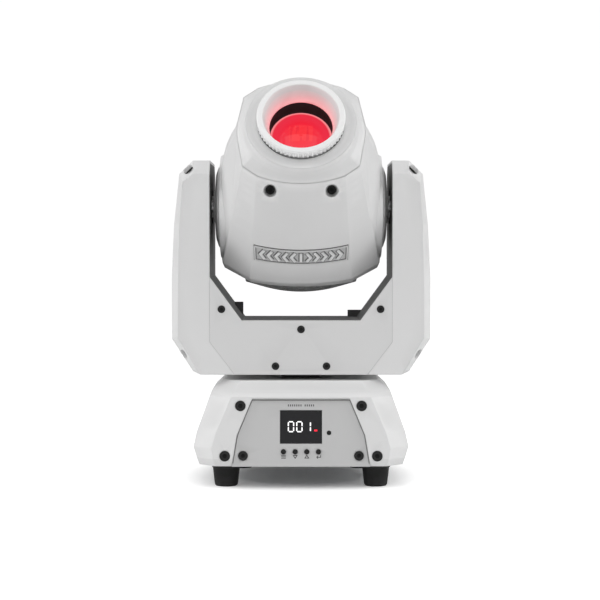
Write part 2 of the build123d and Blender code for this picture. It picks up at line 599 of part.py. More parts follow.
FRAME_INNER = ARM_INNER + LIGHT_WALL
FRAME_OUTER = FRAME_INNER + FRAME_PLATE
CROSS_PLATE_Z = 118.0
with BuildPart() as yoke_frame:
    block(Plane.XY.offset(CROSS_PLATE_Z), 2 * FRAME_OUTER, 90.0, FRAME_PLATE)
    disc(Plane.XY.offset(117.0), BEARING_R + 3.0, BEARING_WIDTH)
    disc(Plane.XY.offset(110.0), BEARING_R, 30.0, mode=Mode.SUBTRACT)
    disc(at(Plane.XY, PAN_MOTOR_X, 0, 110.0), 11.0, 30.0, mode=Mode.SUBTRACT)
    for sign in (-1, 1):
        block(side_plane(sign * FRAME_INNER, 208.0), 76.0, 180.0, FRAME_PLATE)
        disc(side_plane(sign * FRAME_INNER), TILT_BEARING_R + 3.0, TILT_BEARING_WIDTH)
        disc(side_plane(sign * 60.0), TILT_BEARING_R, 60.0, mode=Mode.SUBTRACT)
    disc(side_plane(-60.0, TILT_MOTOR_Z), 11.0, 60.0, mode=Mode.SUBTRACT)
    for z in (180.0, 215.0):
        block(at(side_plane(-60.0, z)), 30.0, 22.0, 60.0, mode=Mode.SUBTRACT)
        block(at(side_plane(60.0, z)), 30.0, 22.0, 60.0, mode=Mode.SUBTRACT)
yoke_frame.part.label = "yoke_frame"


def stepper(plane, length, shaft_length, shaft_r=2.5):
    """A square stepping motor whose front face lies on the plane."""
    with BuildSketch(plane) as body:
        Rectangle(MOTOR_SIZE, MOTOR_SIZE)
        chamfer(body.vertices(), 4.0)
    extrude(body.sketch, amount=-length)
    disc(plane, 10.9, 2.0)
    disc(plane, shaft_r, shaft_length)


PAN_MOTOR_FACE = Plane(
    origin=(PAN_MOTOR_X, 0, CROSS_PLATE_Z + FRAME_PLATE), x_dir=(1, 0, 0), z_dir=(0, 0, -1)
)
with BuildPart() as pan_motor:
    stepper(PAN_MOTOR_FACE, 33.0, 12.8)
pan_motor.part.label = "pan_motor"

with BuildPart() as pan_motor_pulley:
    toothed_wheel(at(Plane.XY, PAN_MOTOR_X, 0, 108.0), MOTOR_TEETH, 6.2, 2.5 + RUNNING)
    disc(at(Plane.XY, PAN_MOTOR_X, 0, 114.2), 8.0, 2.0, bore=2.5 + RUNNING)
pan_motor_pulley.part.label = "pan_motor_pulley"

with BuildPart() as pan_belt:
    belt_band(Plane.XY.offset(BELT_LOW), PAN_TIP + RUNNING, MOTOR_TIP + RUNNING, PAN_MOTOR_X, BELT_WIDTH)
pan_belt.part.label = "pan_belt"

with BuildPart() as tilt_motor:
    stepper(side_plane(-FRAME_INNER, TILT_MOTOR_Z), 25.0, 15.0)
tilt_motor.part.label = "tilt_motor"

TILT_BELT_X, TILT_BELT_WIDTH = 98.4, 5.2
with BuildPart() as tilt_motor_pulley:
    toothed_wheel(side_plane(-98.0, TILT_MOTOR_Z), MOTOR_TEETH, 6.2, 2.5 + RUNNING)
    disc(side_plane(-96.0, TILT_MOTOR_Z), 8.0, 2.0, bore=2.5 + RUNNING)
tilt_motor_pulley.part.label = "tilt_motor_pulley"

with BuildPart() as tilt_pulley:
    toothed_wheel(side_plane(-98.0), TILT_TEETH, 6.2, SHAFT_R)
    disc(side_plane(-96.4), 20.5, 1.6, bore=SHAFT_R)
    disc(side_plane(-104.2), 20.5, 1.2, bore=SHAFT_R)
tilt_pulley.part.label = "tilt_pulley"

with BuildPart() as tilt_belt:
    belt_plane = Plane(origin=(-TILT_BELT_X, 0, TILT_AXIS_Z), x_dir=(0, 0, -1), z_dir=(-1, 0, 0))
    pulley_distance = TILT_AXIS_Z - TILT_MOTOR_Z
    belt_band(belt_plane, TILT_TIP + RUNNING, MOTOR_TIP + RUNNING, pulley_distance, TILT_BELT_WIDTH)
tilt_belt.part.label = "tilt_belt"

with BuildPart() as tilt_bearings:
    for sign in (-1, 1):
        disc(side_plane(sign * FRAME_INNER), TILT_BEARING_R, TILT_BEARING_WIDTH, bore=TILT_BEARING_BORE)
tilt_bearings.part.label = "tilt_bearings"

# ---------------------------------------------------------------- head
# Outer corners of the head at its front shoulder and at its widest belly, across the beam:
# the edge of the crown, the edge of the chamfer and the edge of the cheek.
SHOULDER, CHEEK_END, BELLY = 130.0, 53.0, -10.0
CROWN_SHOULDER, CROWN_BELLY = 58.0, 82.5
EDGE_SHOULDER, EDGE_BELLY = (40.4, 49.7), (50.0, 77.0)
CHAMFER_SHOULDER, CHAMFER_CHEEK, CHAMFER_BELLY = (54.0, 39.0), (66.0, 50.4), (76.7, 59.4)
CHEEK_SHOULDER, CHEEK_CHEEK, CHEEK_BELLY = (59.0, 10.0), (67.2, 49.6), (77.5, 58.2)
HALF_SHOULDER, HALF_CHEEK, HALF_BELLY = 59.8, 76.8, 80.3
CHEEK_CURVE = 1.85             # how quickly the sides swell behind the shoulder
SHELL_BORE = 43.5
HUB_SEAT_X, HUB_SEAT_R = 79.85, 41.0
# round bosses on the cheeks about the tilt axis: distance out and radius
HUB_BOSS = [(66.0, 0.0), (66.0, 59.0), (79.4, 50.5), (79.4, 0.0)]
SHELL_STATIONS = [130.0, 124.0, 118.0, 110.0, 100.0, 88.0, 72.0, 53.0, -10.0]


def mix(start, end, part):
    """A number or a point part of the way from start to end."""
    if isinstance(start, tuple):
        return tuple(mix(a, b, part) for a, b in zip(start, end))
    return start + (end - start) * part


def shell_section(distance):
    """The crown, its edge, the chamfer and cheek edges and the half width at a distance along the beam."""
    along = (SHOULDER - distance) / (SHOULDER - BELLY)
    crown, edge = mix(CROWN_SHOULDER, CROWN_BELLY, along), mix(EDGE_SHOULDER, EDGE_BELLY, along)
    if distance > CHEEK_END:
        part = (SHOULDER - distance) / (SHOULDER - CHEEK_END)
        half = HALF_CHEEK - (HALF_CHEEK - HALF_SHOULDER) * (1 - part) ** CHEEK_CURVE
        chamfer_edge = mix(CHAMFER_SHOULDER, CHAMFER_CHEEK, part)
        cheek_edge = mix(CHEEK_SHOULDER, CHEEK_CHEEK, part)
    else:
        part = (CHEEK_END - distance) / (CHEEK_END - BELLY)
        half = mix(HALF_CHEEK, HALF_BELLY, part)
        chamfer_edge = mix(CHAMFER_CHEEK, CHAMFER_BELLY, part)
        cheek_edge = mix(CHEEK_CHEEK, CHEEK_BELLY, part)
    return crown, edge, chamfer_edge, cheek_edge, half


RIM, RIM_SECTION = -22.0, (79.0, (49.0, 73.8), (75.4, 57.4), (76.2, 56.2), 79.6)
CAP_STATIONS = [
    (-19.0, (72.5, (39.0, 68.0), (55.0, 62.0), (56.0, 60.5), 57.0)),
    (-50.0, (69.0, (39.0, 62.5), (55.0, 57.4), (56.0, 56.0), 57.0)),
    (-62.0, (61.0, (34.0, 55.0), (46.0, 49.8), (47.0, 48.4), 48.0)),
]


def section_segments(section, inset=0.0):
    """The twelve segments of a section as start, middle and end points."""
    crown, (x1, y1), (x2, y2), (x3, y3), half = section
    crown, half = crown - inset, half - inset
    quarter = [
        (x1 - 0.4 * inset, y1 - inset),
        (x2 - 0.8 * inset, y2 - 0.7 * inset),
        (x3 - inset, y3 - 0.4 * inset),
    ]
    back = list(reversed(quarter))
    ring = back + [(-x, y) for x, y in quarter] + [(-x, -y) for x, y in back] + [(x, -y) for x, y in quarter]
    segments = []
    for start, end in zip(ring, ring[1:] + ring[:1]):
        middle = ((start[0] + end[0]) / 2, (start[1] + end[1]) / 2)
        if start[0] == -end[0]:
            middle = (0.0, math.copysign(crown, start[1]))
        if start[1] == -end[1]:
            middle = (math.copysign(half, start[0]), 0.0)
        segments.append((start, middle, end))
    return segments


def round_segments(radius):
    """A circle cut into segments that face those of the shoulder."""
    def turn(point):
        return math.atan2(point[1], point[0])

    def on_circle(angle):
        return (radius * math.cos(angle), radius * math.sin(angle))

    segments = []
    for start, middle, end in section_segments(shell_section(SHOULDER)):
        segments.append(tuple(on_circle(turn(point)) for point in (start, middle, end)))
    return segments


def draw_segments(segments):
    """Draws straight segments as lines and bowed ones as arcs."""
    for start, middle, end in segments:
        bow = (end[0] - start[0]) * (middle[1] - start[1]) - (end[1] - start[1]) * (middle[0] - start[0])
        if abs(bow) < 0.01:
            Line(start, end)
        else:
            ThreePointArc(start, middle, end)


def beam_loft(stations):
    """A solid through outlines across the beam, given as distance and segments."""
    with BuildPart() as body:
        for distance, segments in stations:
            with BuildSketch(HEAD.offset(distance)):
                with BuildLine():
                    draw_segments(segments)
                make_face()
        loft(ruled=True)
    return body.part


def shell_block(inset=0.0, front=SHOULDER, rear=RIM):
    """The head between its shoulder and its rear rim, smaller all round by the inset."""
    stations = [(front, section_segments(shell_section(front), inset))]
    stations += [(d, section_segments(shell_section(d), inset)) for d in SHELL_STATIONS if d < front]
    stations.append((rear, section_segments(RIM_SECTION, inset)))
    return beam_loft(stations)


def head_half(side):
    """One shell of the head, split at the beam: -1 is the belly, +1 the back."""
    with BuildPart() as shell:
        add(head_solid)
        add(shell_block(WALL, SHOULDER - WALL, RIM + WALL), mode=Mode.SUBTRACT)
        add(cap_opening, mode=Mode.SUBTRACT)
        disc(HEAD.offset(120.0), SHELL_BORE, 20.0, mode=Mode.SUBTRACT)
        for sign in (-1, 1):
            disc(side_plane(sign * 70.0), 10.0, 20.0, mode=Mode.SUBTRACT)
        for x in (-SHELL_SCREW_X, SHELL_SCREW_X):
            add(screw_boss(x, side))
            disc(shell_screw_mouth(x, side), SHELL_MOUTH_R, 40.0, mode=Mode.SUBTRACT)
            add(screw_funnel(x, side), mode=Mode.SUBTRACT)
            disc(shell_screw_plane(x, side), SCREW_HOLE_R, -30.0, mode=Mode.SUBTRACT)
        half = Plane(origin=HEAD.origin, x_dir=HEAD.x_dir, z_dir=HEAD.y_dir)
        split(bisect_by=half, keep=Keep.TOP if side > 0 else Keep.BOTTOM)
    return shell.part


SHELL_SCREW_X, SHELL_SCREW_AT = 28.5, 121.5
SHELL_SCREW_DEPTH = 22.0        # from the middle of the mouth to the seat
SHELL_MOUTH_R, SHELL_MOUTH_DEPTH = 6.1, 9.0
SHELL_SEAT_R, SHELL_SEAT_SHIFT = 4.3, 1.7


def shell_screw_mouth(x, side):
    """The inner end of the open part of a shell screw bore, whose axis turns from the beam to the split."""
    turn = math.radians(BEAM_ELEVATION)
    surface = at(HEAD, x, side * 60.0, SHELL_SCREW_AT)
    axis = HEAD.z_dir * math.cos(turn) + HEAD.y_dir * side * math.sin(turn)
    return Plane(origin=surface.origin - axis * SHELL_MOUTH_DEPTH, x_dir=(1, 0, 0), z_dir=axis)


def shell_screw_plane(x, side):
    """The seat of a shell screw at the narrow end of its bore, a little nearer the beam."""
    mouth = shell_screw_mouth(x, side)
    return at(mouth, y=-side * SHELL_SEAT_SHIFT, z=SHELL_MOUTH_DEPTH - SHELL_SCREW_DEPTH)


with BuildPart() as head_block:
    with BuildSketch(Plane.XY.offset(TILT_AXIS_Z)):
        for sign in (-1, 1):
            with BuildLine():
                Polyline([(sign * x, radius) for x, radius in HUB_BOSS], close=True)
            make_face()
    revolve(axis=Axis(HEAD.origin, (1, 0, 0)))
    block(HEAD.offset(RIM), 200.0, 200.0, 200.0, mode=Mode.INTERSECT)
    add(shell_block())
    for sign in (-1, 1):
        disc(side_plane(sign * HUB_SEAT_X), HUB_SEAT_R, 10.0, mode=Mode.SUBTRACT)
head_solid = head_block.part


def screw_funnel(x, side):
    """The narrowing end of a shell screw bore."""
    with BuildPart() as funnel:
        with BuildSketch(shell_screw_plane(x, side)):
            Circle(SHELL_SEAT_R)
        with BuildSketch(shell_screw_mouth(x, side)):
            Circle(SHELL_MOUTH_R)
        loft()
    return funnel.part


def screw_boss(x, side):
    """The boss behind a shell screw, cut flush with the outside of the head."""
    with BuildPart() as boss:
        disc(at(shell_screw_plane(x, side), z=-4.0), 8.5, 44.0)
        add(head_solid, mode=Mode.INTERSECT)
    return boss.part


with BuildPart() as cap_opening_block:
    with BuildSketch(HEAD.offset(-30.0)):
        with BuildLine():
            draw_segments(section_segments(CAP_STATIONS[0][1], -0.8))
        make_face()
    extrude(amount=14.0)
cap_opening = cap_opening_block.part

head_belly_part = head_half(-1)
head_back_part = head_half(1)

with BuildPart() as rear_cap:
    add(beam_loft([(distance, section_segments(section)) for distance, section in CAP_STATIONS]))
    hollow = [(-18.0, section_segments(CAP_STATIONS[0][1], LIGHT_WALL))]
    hollow += [(d + LIGHT_WALL, section_segments(section, LIGHT_WALL)) for d, section in CAP_STATIONS[1:]]
    add(beam_loft(hollow), mode=Mode.SUBTRACT)
    with BuildSketch(HEAD.offset(-70.0)):
        for radius in (9.0, 15.0, 21.0, 27.0, 33.0):
            with PolarLocations(radius, 8, start_angle=22.5):
                SlotOverall(max(5.0, radius * 0.62), 2.6, rotation=90)
    extrude(amount=30.0, mode=Mode.SUBTRACT)
    for sign in (-1, 1):
        vent_plane = Plane(origin=HEAD.origin, x_dir=HEAD.x_dir, z_dir=HEAD.y_dir * sign)
        with BuildSketch(at(vent_plane, 0, sign * 36.0, 40.0)):
            with GridLocations(13.0, 5.5, 5, 4):
                SlotOverall(10.0, 2.4)
        extrude(amount=40.0, mode=Mode.SUBTRACT)
rear_cap.part.label = "rear_cap"

COLLAR_R, COLLAR_FRONT, BEZEL_BORE, DISH_BOTTOM = 51.2, 144.5, 40.0, 143.5
shoulder_segments = section_segments(shell_section(SHOULDER))
# how round the bezel is on its way from the shoulder to the collar
BEZEL_ROUNDNESS = [(SHOULDER, 0.0), (132.5, 0.38), (136.0, 0.72), (140.0, 0.93), (COLLAR_FRONT, 1.0)]
bezel_flare = []
for distance, roundness in BEZEL_ROUNDNESS:
    pairs = zip(shoulder_segments, round_segments(COLLAR_R))
    blended = [tuple(mix(a, b, roundness) for a, b in zip(flat, curved)) for flat, curved in pairs]
    bezel_flare.append((distance, blended))
with BuildPart() as front_bezel:
    add(beam_loft(bezel_flare))
    disc(HEAD.offset(SHOULDER - 1), BEZEL_BORE, 20.0, mode=Mode.SUBTRACT)
    with BuildSketch(BEAM_PROFILE) as dish:
        with BuildLine():
            Polyline([(0, COLLAR_FRONT + 1), (0, DISH_BOTTOM), (BEZEL_BORE, DISH_BOTTOM),
                      (COLLAR_R - 1.4, COLLAR_FRONT), (COLLAR_R - 1.4, COLLAR_FRONT + 1)], close=True)
        make_face()
    revolve(dish.sketch, axis=BEAM_AXIS, mode=Mode.SUBTRACT)
front_bezel.part.label = "front_bezel"

RING_NECK_R, RING_MOUTH_R, TUBE_FRONT = 37.0, 35.2, 135.0
RING_SEAT = TUBE_FRONT + RUNNING
with BuildPart() as lens_ring:
    with BuildSketch(BEAM_PROFILE):
        with BuildLine():
            Polyline([(LENS_R + 0.1, RING_SEAT), (RING_NECK_R, RING_SEAT), (RING_NECK_R, RING_BACK),
                      (RING_R - 0.6, RING_BACK), (RING_R, RING_BACK + 0.6), (RING_R, RING_FRONT - 0.8),
                      (RING_R - 0.8, RING_FRONT), (RING_MOUTH_R + 0.5, RING_FRONT),
                      (RING_MOUTH_R, RING_FRONT - 0.5)], close=True)
        make_face()
    revolve(axis=BEAM_AXIS)
    with BuildSketch(HEAD.offset(RING_BACK)):
        with PolarLocations(RING_R, KNURLS):
            Circle(KNURL_R)
    extrude(amount=RING_FRONT - RING_BACK - KNURL_END, mode=Mode.SUBTRACT)
lens_ring.part.label = "lens_ring"

with BuildPart() as lens_tube:
    with BuildSketch(BEAM_PROFILE):
        with BuildLine():
            Polyline([(26.0, 112.0), (26.0, 116.0), (LENS_R, 116.0), (LENS_R, TUBE_FRONT),
                      (RING_NECK_R + RUNNING, TUBE_FRONT), (RING_NECK_R + RUNNING, 139.0), (39.5, 139.0),
                      (39.5, 127.0), (49.0, 127.0), (49.0, 124.0), (35.0, 124.0), (32.0, 112.0)], close=True)
        make_face()
    revolve(axis=BEAM_AXIS)
lens_tube.part.label = "lens_tube"

with BuildPart() as front_lens:
    with BuildSketch(BEAM_PROFILE):
        with BuildLine():
            Polyline([(0.0, 125.0), (0.0, 116.0), (LENS_R, 116.0), (LENS_R, 118.6)])
            dome(LENS_R, 118.6, 6.4)
        make_face()
    revolve(axis=BEAM_AXIS)
front_lens.part.label = "front_lens"

# half section of a hub cover: distance out and radius
HUB_COVER = [(79.9, SHAFT_R), (79.9, 40.0), (81.6, 40.0), (84.0, 33.0), (84.0, 16.0), (86.5, 16.0),
             (86.5, SHAFT_R)]
with BuildPart() as hub_covers:
    for sign in (-1, 1):
        with BuildSketch(Plane.XY.offset(TILT_AXIS_Z)) as profile:
            with BuildLine():
                Polyline([(sign * x, radius) for x, radius in HUB_COVER], close=True)
            make_face()
        revolve(profile.sketch, axis=Axis(HEAD.origin, (1, 0, 0)))
        for angle in (45, 135, 225, 315):
            turned = math.radians(angle)
            seat = at(side_plane(sign * 86.5), 11.5 * math.cos(turned), 11.5 * math.sin(turned))
            disc(seat, 2.6, 1.4)
hub_covers.part.label = "hub_covers"

with BuildPart() as tilt_shafts:
    for sign, end in ((-1, 107.0), (1, 100.0)):
        disc(side_plane(sign * RAIL_OUTER), 16.0, 3.0, bore=SHAFT_BORE)
        disc(side_plane(sign * RAIL_OUTER), SHAFT_R, end - RAIL_OUTER, bore=SHAFT_BORE)
tilt_shafts.part.label = "tilt_shafts"

COLOUR_CENTRE, PATTERN_CENTRE = (0.0, -WHEEL_OFFSET), (0.0, WHEEL_OFFSET)
FOCUS_SCREW_AT, PRISM_PIVOT = (0.0, 38.0), (0.0, -42.0)
SMALL_MOTOR = 20.0


def head_plate(distance, width, depth, thickness=2.0):
    """A cross plate of the inner frame with the beam opening still closed."""
    block(HEAD.offset(distance), width, depth, thickness)


with BuildPart() as head_frame:
    for sign in (-1, 1):
        rail = Plane(origin=at(HEAD, sign * (RAIL_OUTER - RAIL_THICKNESS), 0, 50.0).origin,
                     x_dir=HEAD.z_dir, z_dir=(sign, 0, 0))
        block(rail, 124.0, 20.0, RAIL_THICKNESS)
        block(at(rail, x=-50.0), 36.0, 36.0, RAIL_THICKNESS)
        block(at(HEAD, sign * RAIL_OUTER, 0, 98.0), 2 * RAIL_RELIEF, 24.0, 16.0, mode=Mode.SUBTRACT)
    inner_width = 2 * (RAIL_OUTER - RAIL_THICKNESS)
    head_plate(-2.0, inner_width, 90.0)
    head_plate(20.0, inner_width, 90.0)
    head_plate(45.0, inner_width, 96.0)
    head_plate(110.0, inner_width, 20.0)
    head_plate(110.0, 100.0, 66.0)
    block(at(HEAD, 0, 38.0, 110.0), 24.0, 14.0, 2.0)
    disc(HEAD.offset(15.0), 14.0, 40.0, mode=Mode.SUBTRACT)
    disc(HEAD.offset(105.0), 26.0, 10.0, mode=Mode.SUBTRACT)
    for x, y in (COLOUR_CENTRE, PATTERN_CENTRE):
        disc(at(HEAD, x, y, 15.0), 4.0, 10.0, mode=Mode.SUBTRACT)
    disc(at(HEAD, *PRISM_PIVOT, 40.0), 4.0, 10.0, mode=Mode.SUBTRACT)
    disc(at(HEAD, *FOCUS_SCREW_AT, 40.0), 2.4 + RUNNING, 75.0, mode=Mode.SUBTRACT)
    for x in (-ROD_X, ROD_X):
        disc(at(HEAD, x, 0, 46.0), ROD_R, 65.0)
    for sign in (-1, 1):
        disc(side_plane(sign * 58.0), SHAFT_BORE, 10.0, mode=Mode.SUBTRACT)
head_frame.part.label = "head_frame"

with BuildPart() as lamp_board:
    block(HEAD, 40.0, 38.0, 1.6)
    block(HEAD.offset(1.6), 14.0, 14.0, 1.4)
    disc(HEAD.offset(3.0), 5.0, 1.0)
lamp_board.part.label = "lamp_board"

with BuildPart() as condenser_lens:
    disc(HEAD.offset(1.6), 19.0, 10.0, bore=16.0)
    disc(HEAD.offset(6.0), 16.0, 3.0)
    with BuildSketch(BEAM_PROFILE):
        with BuildLine():
            Polyline([(0.0, 15.0), (0.0, 8.0), (15.0, 8.0), (15.0, 9.5)])
            dome(15.0, 9.5, 5.5)
        make_face()
    revolve(axis=BEAM_AXIS)
condenser_lens.part.label = "condenser_lens"

with BuildPart() as heat_sink:
    block(HEAD.offset(-8.0), 92.0, 80.0, 6.0)
    with BuildSketch(HEAD.offset(-42.0)):
        with GridLocations(6.0, 0, 15, 1):
            Rectangle(1.6, 80.0)
    extrude(amount=34.0)
heat_sink.part.label = "heat_sink"

FAN_FRONT, FAN_BACK = -44.5, -59.5
with BuildPart() as fan_frame:
    block(HEAD.offset(FAN_BACK), 70.0, 70.0, FAN_FRONT - FAN_BACK, rounding=4.0)
    disc(HEAD.offset(FAN_BACK), 32.0, FAN_FRONT - FAN_BACK, mode=Mode.SUBTRACT)
    with BuildSketch(HEAD.offset(FAN_FRONT - 1.5)):
        Circle(9.0)
        with PolarLocations(20.0, 4, start_angle=45):
            Rectangle(28.0, 3.0)
    extrude(amount=1.5)
    disc(HEAD.offset(FAN_BACK + 2.0), 5.0, FAN_FRONT - FAN_BACK - 3.0)
    with BuildSketch(HEAD.offset(FAN_BACK)):
        with GridLocations(60.0, 60.0, 2, 2):
            Circle(2.1)
    extrude(amount=20.0, mode=Mode.SUBTRACT)
fan_frame.part.label = "fan_frame"

FAN_BLADES = 7
with BuildPart() as fan_rotor:
    disc(HEAD.offset(FAN_BACK + 1.0), 14.0, 12.0, bore=5.0 + RUNNING)
    for blade in range(FAN_BLADES):
        angle = 2 * math.pi * blade / FAN_BLADES
        radial = HEAD.x_dir * math.cos(angle) + HEAD.y_dir * math.sin(angle)
        blade_plane = Plane(origin=HEAD.offset(-53.0).origin + radial * 12.5, x_dir=HEAD.z_dir, z_dir=radial)
        prism_solid(blade_plane, [(-4.5, -7.0), (-2.9, -7.0), (4.5, 6.0), (2.9, 6.0)], 18.2)
fan_rotor.part.label = "fan_rotor"

WHEEL_APERTURE = 8.5
with BuildPart() as colour_wheel:
    wheel_plane = at(HEAD, *COLOUR_CENTRE, 24.0)
    disc(wheel_plane, WHEEL_R, 1.2, bore=2.0 + RUNNING)
    disc(wheel_plane, 6.0, 2.6, bore=2.0 + RUNNING)
    with BuildSketch(wheel_plane):
        with PolarLocations(WHEEL_OFFSET, 8, start_angle=90):
            Circle(WHEEL_APERTURE)
    extrude(amount=2.0, mode=Mode.SUBTRACT)
colour_wheel.part.label = "colour_wheel"

with BuildPart() as colour_filters:
    with BuildSketch(at(HEAD, *COLOUR_CENTRE, 24.2)):
        with PolarLocations(WHEEL_OFFSET, 7, start_angle=45, angular_range=270, endpoint=True):
            Circle(WHEEL_APERTURE)
    extrude(amount=0.8)
colour_filters.part.label = "colour_filters"

with BuildPart() as pattern_wheel:
    wheel_plane = at(HEAD, *PATTERN_CENTRE, 28.0)
    disc(wheel_plane, WHEEL_R, 1.2, bore=2.0 + RUNNING)
    disc(wheel_plane, 6.0, 2.6, bore=2.0 + RUNNING)
    with BuildSketch(wheel_plane):
        with PolarLocations(WHEEL_OFFSET, 4, start_angle=-90):
            Circle(WHEEL_APERTURE)
        with PolarLocations(WHEEL_OFFSET, 4, start_angle=-45):
            RegularPolygon(WHEEL_APERTURE * 0.9, 3)
    extrude(amount=2.0, mode=Mode.SUBTRACT)
pattern_wheel.part.label = "pattern_wheel"


def small_stepper(centre, face, length, shaft_length):
    """A 20 mm stepping motor whose front face lies across the beam at the given distance."""
    plane = at(HEAD, *centre, face)
    with BuildSketch(plane) as body:
        Rectangle(SMALL_MOTOR, SMALL_MOTOR)
        chamfer(body.vertices(), 2.0)
    extrude(body.sketch, amount=-length)
    if shaft_length:
        disc(plane, 2.0, shaft_length)


with BuildPart() as optic_motors:
    small_stepper(COLOUR_CENTRE, 20.0, 17.0, 6.4)
    small_stepper(PATTERN_CENTRE, 20.0, 17.0, 10.4)
    small_stepper(PRISM_PIVOT, 45.0, 14.0, 9.0)
    small_stepper(FOCUS_SCREW_AT, 45.0, 14.0, 0.0)
optic_motors.part.label = "optic_motors"

PRISM_ARM_LENGTH, PRISM_OUT = 42.0, 60.0
prism_x = PRISM_ARM_LENGTH * math.sin(math.radians(PRISM_OUT))
prism_y = PRISM_PIVOT[1] + PRISM_ARM_LENGTH * math.cos(math.radians(PRISM_OUT))
with BuildPart() as prism_arm:
    with BuildSketch(HEAD.offset(50.0)):
        with Locations(PRISM_PIVOT):
            Circle(6.0)
        with Locations((prism_x, prism_y)):
            Circle(9.0)
        make_hull()
        with Locations((prism_x, prism_y)):
            Circle(16.0)
            Circle(13.0 + RUNNING, mode=Mode.SUBTRACT)
        with Locations(PRISM_PIVOT):
            Circle(2.0 + RUNNING, mode=Mode.SUBTRACT)
    extrude(amount=2.0)
    disc(at(HEAD, prism_x, prism_y, 50.0), 16.0, 5.0, bore=13.0 + RUNNING)
    disc(at(HEAD, *PRISM_PIVOT, 50.0), 6.0, 4.0, bore=2.0 + RUNNING)
prism_arm.part.label = "prism_arm"

with BuildPart() as prism:
    prism_plane = at(HEAD, prism_x, prism_y, 50.0)
    disc(prism_plane, 13.0, 4.0)
    with BuildSketch(prism_plane.offset(4.0)) as facets:
        RegularPolygon(12.0, 3)
    extrude(facets.sketch, amount=3.0, taper=40)
prism.part.label = "prism"

CARRIAGE_AT, CARRIAGE_WIDTH = 84.0, 8.0
with BuildPart() as focus_carriage:
    with BuildSketch(HEAD.offset(CARRIAGE_AT)):
        with Locations((-ROD_X, 0), (ROD_X, 0), FOCUS_SCREW_AT):
            Circle(6.0)
        make_hull()
        Circle(24.0)
        Circle(20.0, mode=Mode.SUBTRACT)
        with Locations((-ROD_X, 0), (ROD_X, 0)):
            Circle(ROD_R + RUNNING, mode=Mode.SUBTRACT)
        with Locations(FOCUS_SCREW_AT):
            Circle(2.4 + RUNNING, mode=Mode.SUBTRACT)
    extrude(amount=CARRIAGE_WIDTH)
focus_carriage.part.label = "focus_carriage"

with BuildPart() as focus_lens:
    with BuildSketch(BEAM_PROFILE):
        with BuildLine():
            Line((0.0, 91.8), (0.0, 84.2))
            dome(20.0, 87.0, -2.8)
            Line((20.0, 87.0), (20.0, 89.0))
            dome(20.0, 89.0, 2.8)
        make_face()
    revolve(axis=BEAM_AXIS)
focus_lens.part.label = "focus_lens"

with BuildPart() as focus_screw:
    disc(at(HEAD, *FOCUS_SCREW_AT, 45.1), 2.4, 66.0)
focus_screw.part.label = "focus_screw"

with BuildPart() as head_screws:
    for side in (-1, 1):
        for x in (-SHELL_SCREW_X, SHELL_SCREW_X):
            screw(shell_screw_plane(x, side), SHELL_SEAT_R - 2 * HEAD_PLAY, 2.0, SCREW_R, 4.0)
head_screws.part.label = "head_screws"

head_belly_part.label = "head_belly_shell"
head_back_part.label = "head_back_shell"

PIECES = [
    base_shell, base_plate, rubber_feet, base_chassis, control_panel, rear_panel, base_screws, display_module,
    display_board, power_supply, power_sockets, data_sockets, pan_post, pan_pulley, pan_bearing,
    yoke_liner, arm_cover_right, arm_cover_left, crossbar_cover_front, crossbar_cover_rear, yoke_screws,
    yoke_bottom, yoke_frame, pan_motor, pan_motor_pulley, pan_belt, tilt_motor, tilt_motor_pulley,
    tilt_pulley, tilt_belt, tilt_bearings, rear_cap, front_bezel, lens_ring, lens_tube, front_lens,
    hub_covers, tilt_shafts, head_frame, lamp_board, condenser_lens, heat_sink, fan_frame, fan_rotor,
    colour_wheel, colour_filters, pattern_wheel, optic_motors, prism_arm, prism, focus_carriage,
    focus_lens, focus_screw, head_screws,
]
finished = [builder.part for builder in PIECES] + list(buttons.values()) + [head_belly_part, head_back_part]
os.makedirs("parts", exist_ok=True)
for piece in finished:
    piece.move(Location((0, 0, -FOOT_HEIGHT)))
    export_step(piece, f"parts/{piece.label}.step")
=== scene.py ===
import json
import math

import bpy
import bmesh
from mathutils import Matrix, Vector
from mathutils.bvhtree import BVHTree


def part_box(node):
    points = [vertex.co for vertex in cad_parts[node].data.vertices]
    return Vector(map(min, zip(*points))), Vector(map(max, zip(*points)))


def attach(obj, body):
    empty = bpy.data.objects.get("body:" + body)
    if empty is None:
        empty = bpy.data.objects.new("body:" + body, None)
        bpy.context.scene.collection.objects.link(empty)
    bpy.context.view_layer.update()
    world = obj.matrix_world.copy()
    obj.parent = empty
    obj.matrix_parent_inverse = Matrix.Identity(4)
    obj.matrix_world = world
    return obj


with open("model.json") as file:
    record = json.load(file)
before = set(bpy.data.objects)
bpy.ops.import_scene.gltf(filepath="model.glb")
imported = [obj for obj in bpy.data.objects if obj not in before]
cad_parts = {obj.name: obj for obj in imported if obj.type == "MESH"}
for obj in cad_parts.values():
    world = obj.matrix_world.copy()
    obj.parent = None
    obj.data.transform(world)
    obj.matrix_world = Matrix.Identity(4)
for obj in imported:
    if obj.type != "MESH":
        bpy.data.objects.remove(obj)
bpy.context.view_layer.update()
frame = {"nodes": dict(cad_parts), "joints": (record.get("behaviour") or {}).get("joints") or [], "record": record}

NODES = frame["nodes"]
MM = 0.001
FLOOR_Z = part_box("rubber_feet")[0].z

# ------------------------------------------------------------------ places taken from the frame
JOINTS = {joint["name"]: joint for joint in frame["joints"]}
TILT_POINT = Vector(JOINTS["tilt"]["pos_m"])
BEAM = Vector(JOINTS["lens_ring_turn"]["axis"]).normalized()
SIDE = Vector((1.0, 0.0, 0.0))
BACK = BEAM.cross(SIDE)
HEAD_MATRIX = Matrix.Translation(TILT_POINT) @ Matrix((SIDE, BACK, BEAM)).transposed().to_4x4()
PRESS = Vector(JOINTS["press_menu"]["axis"]).normalized()


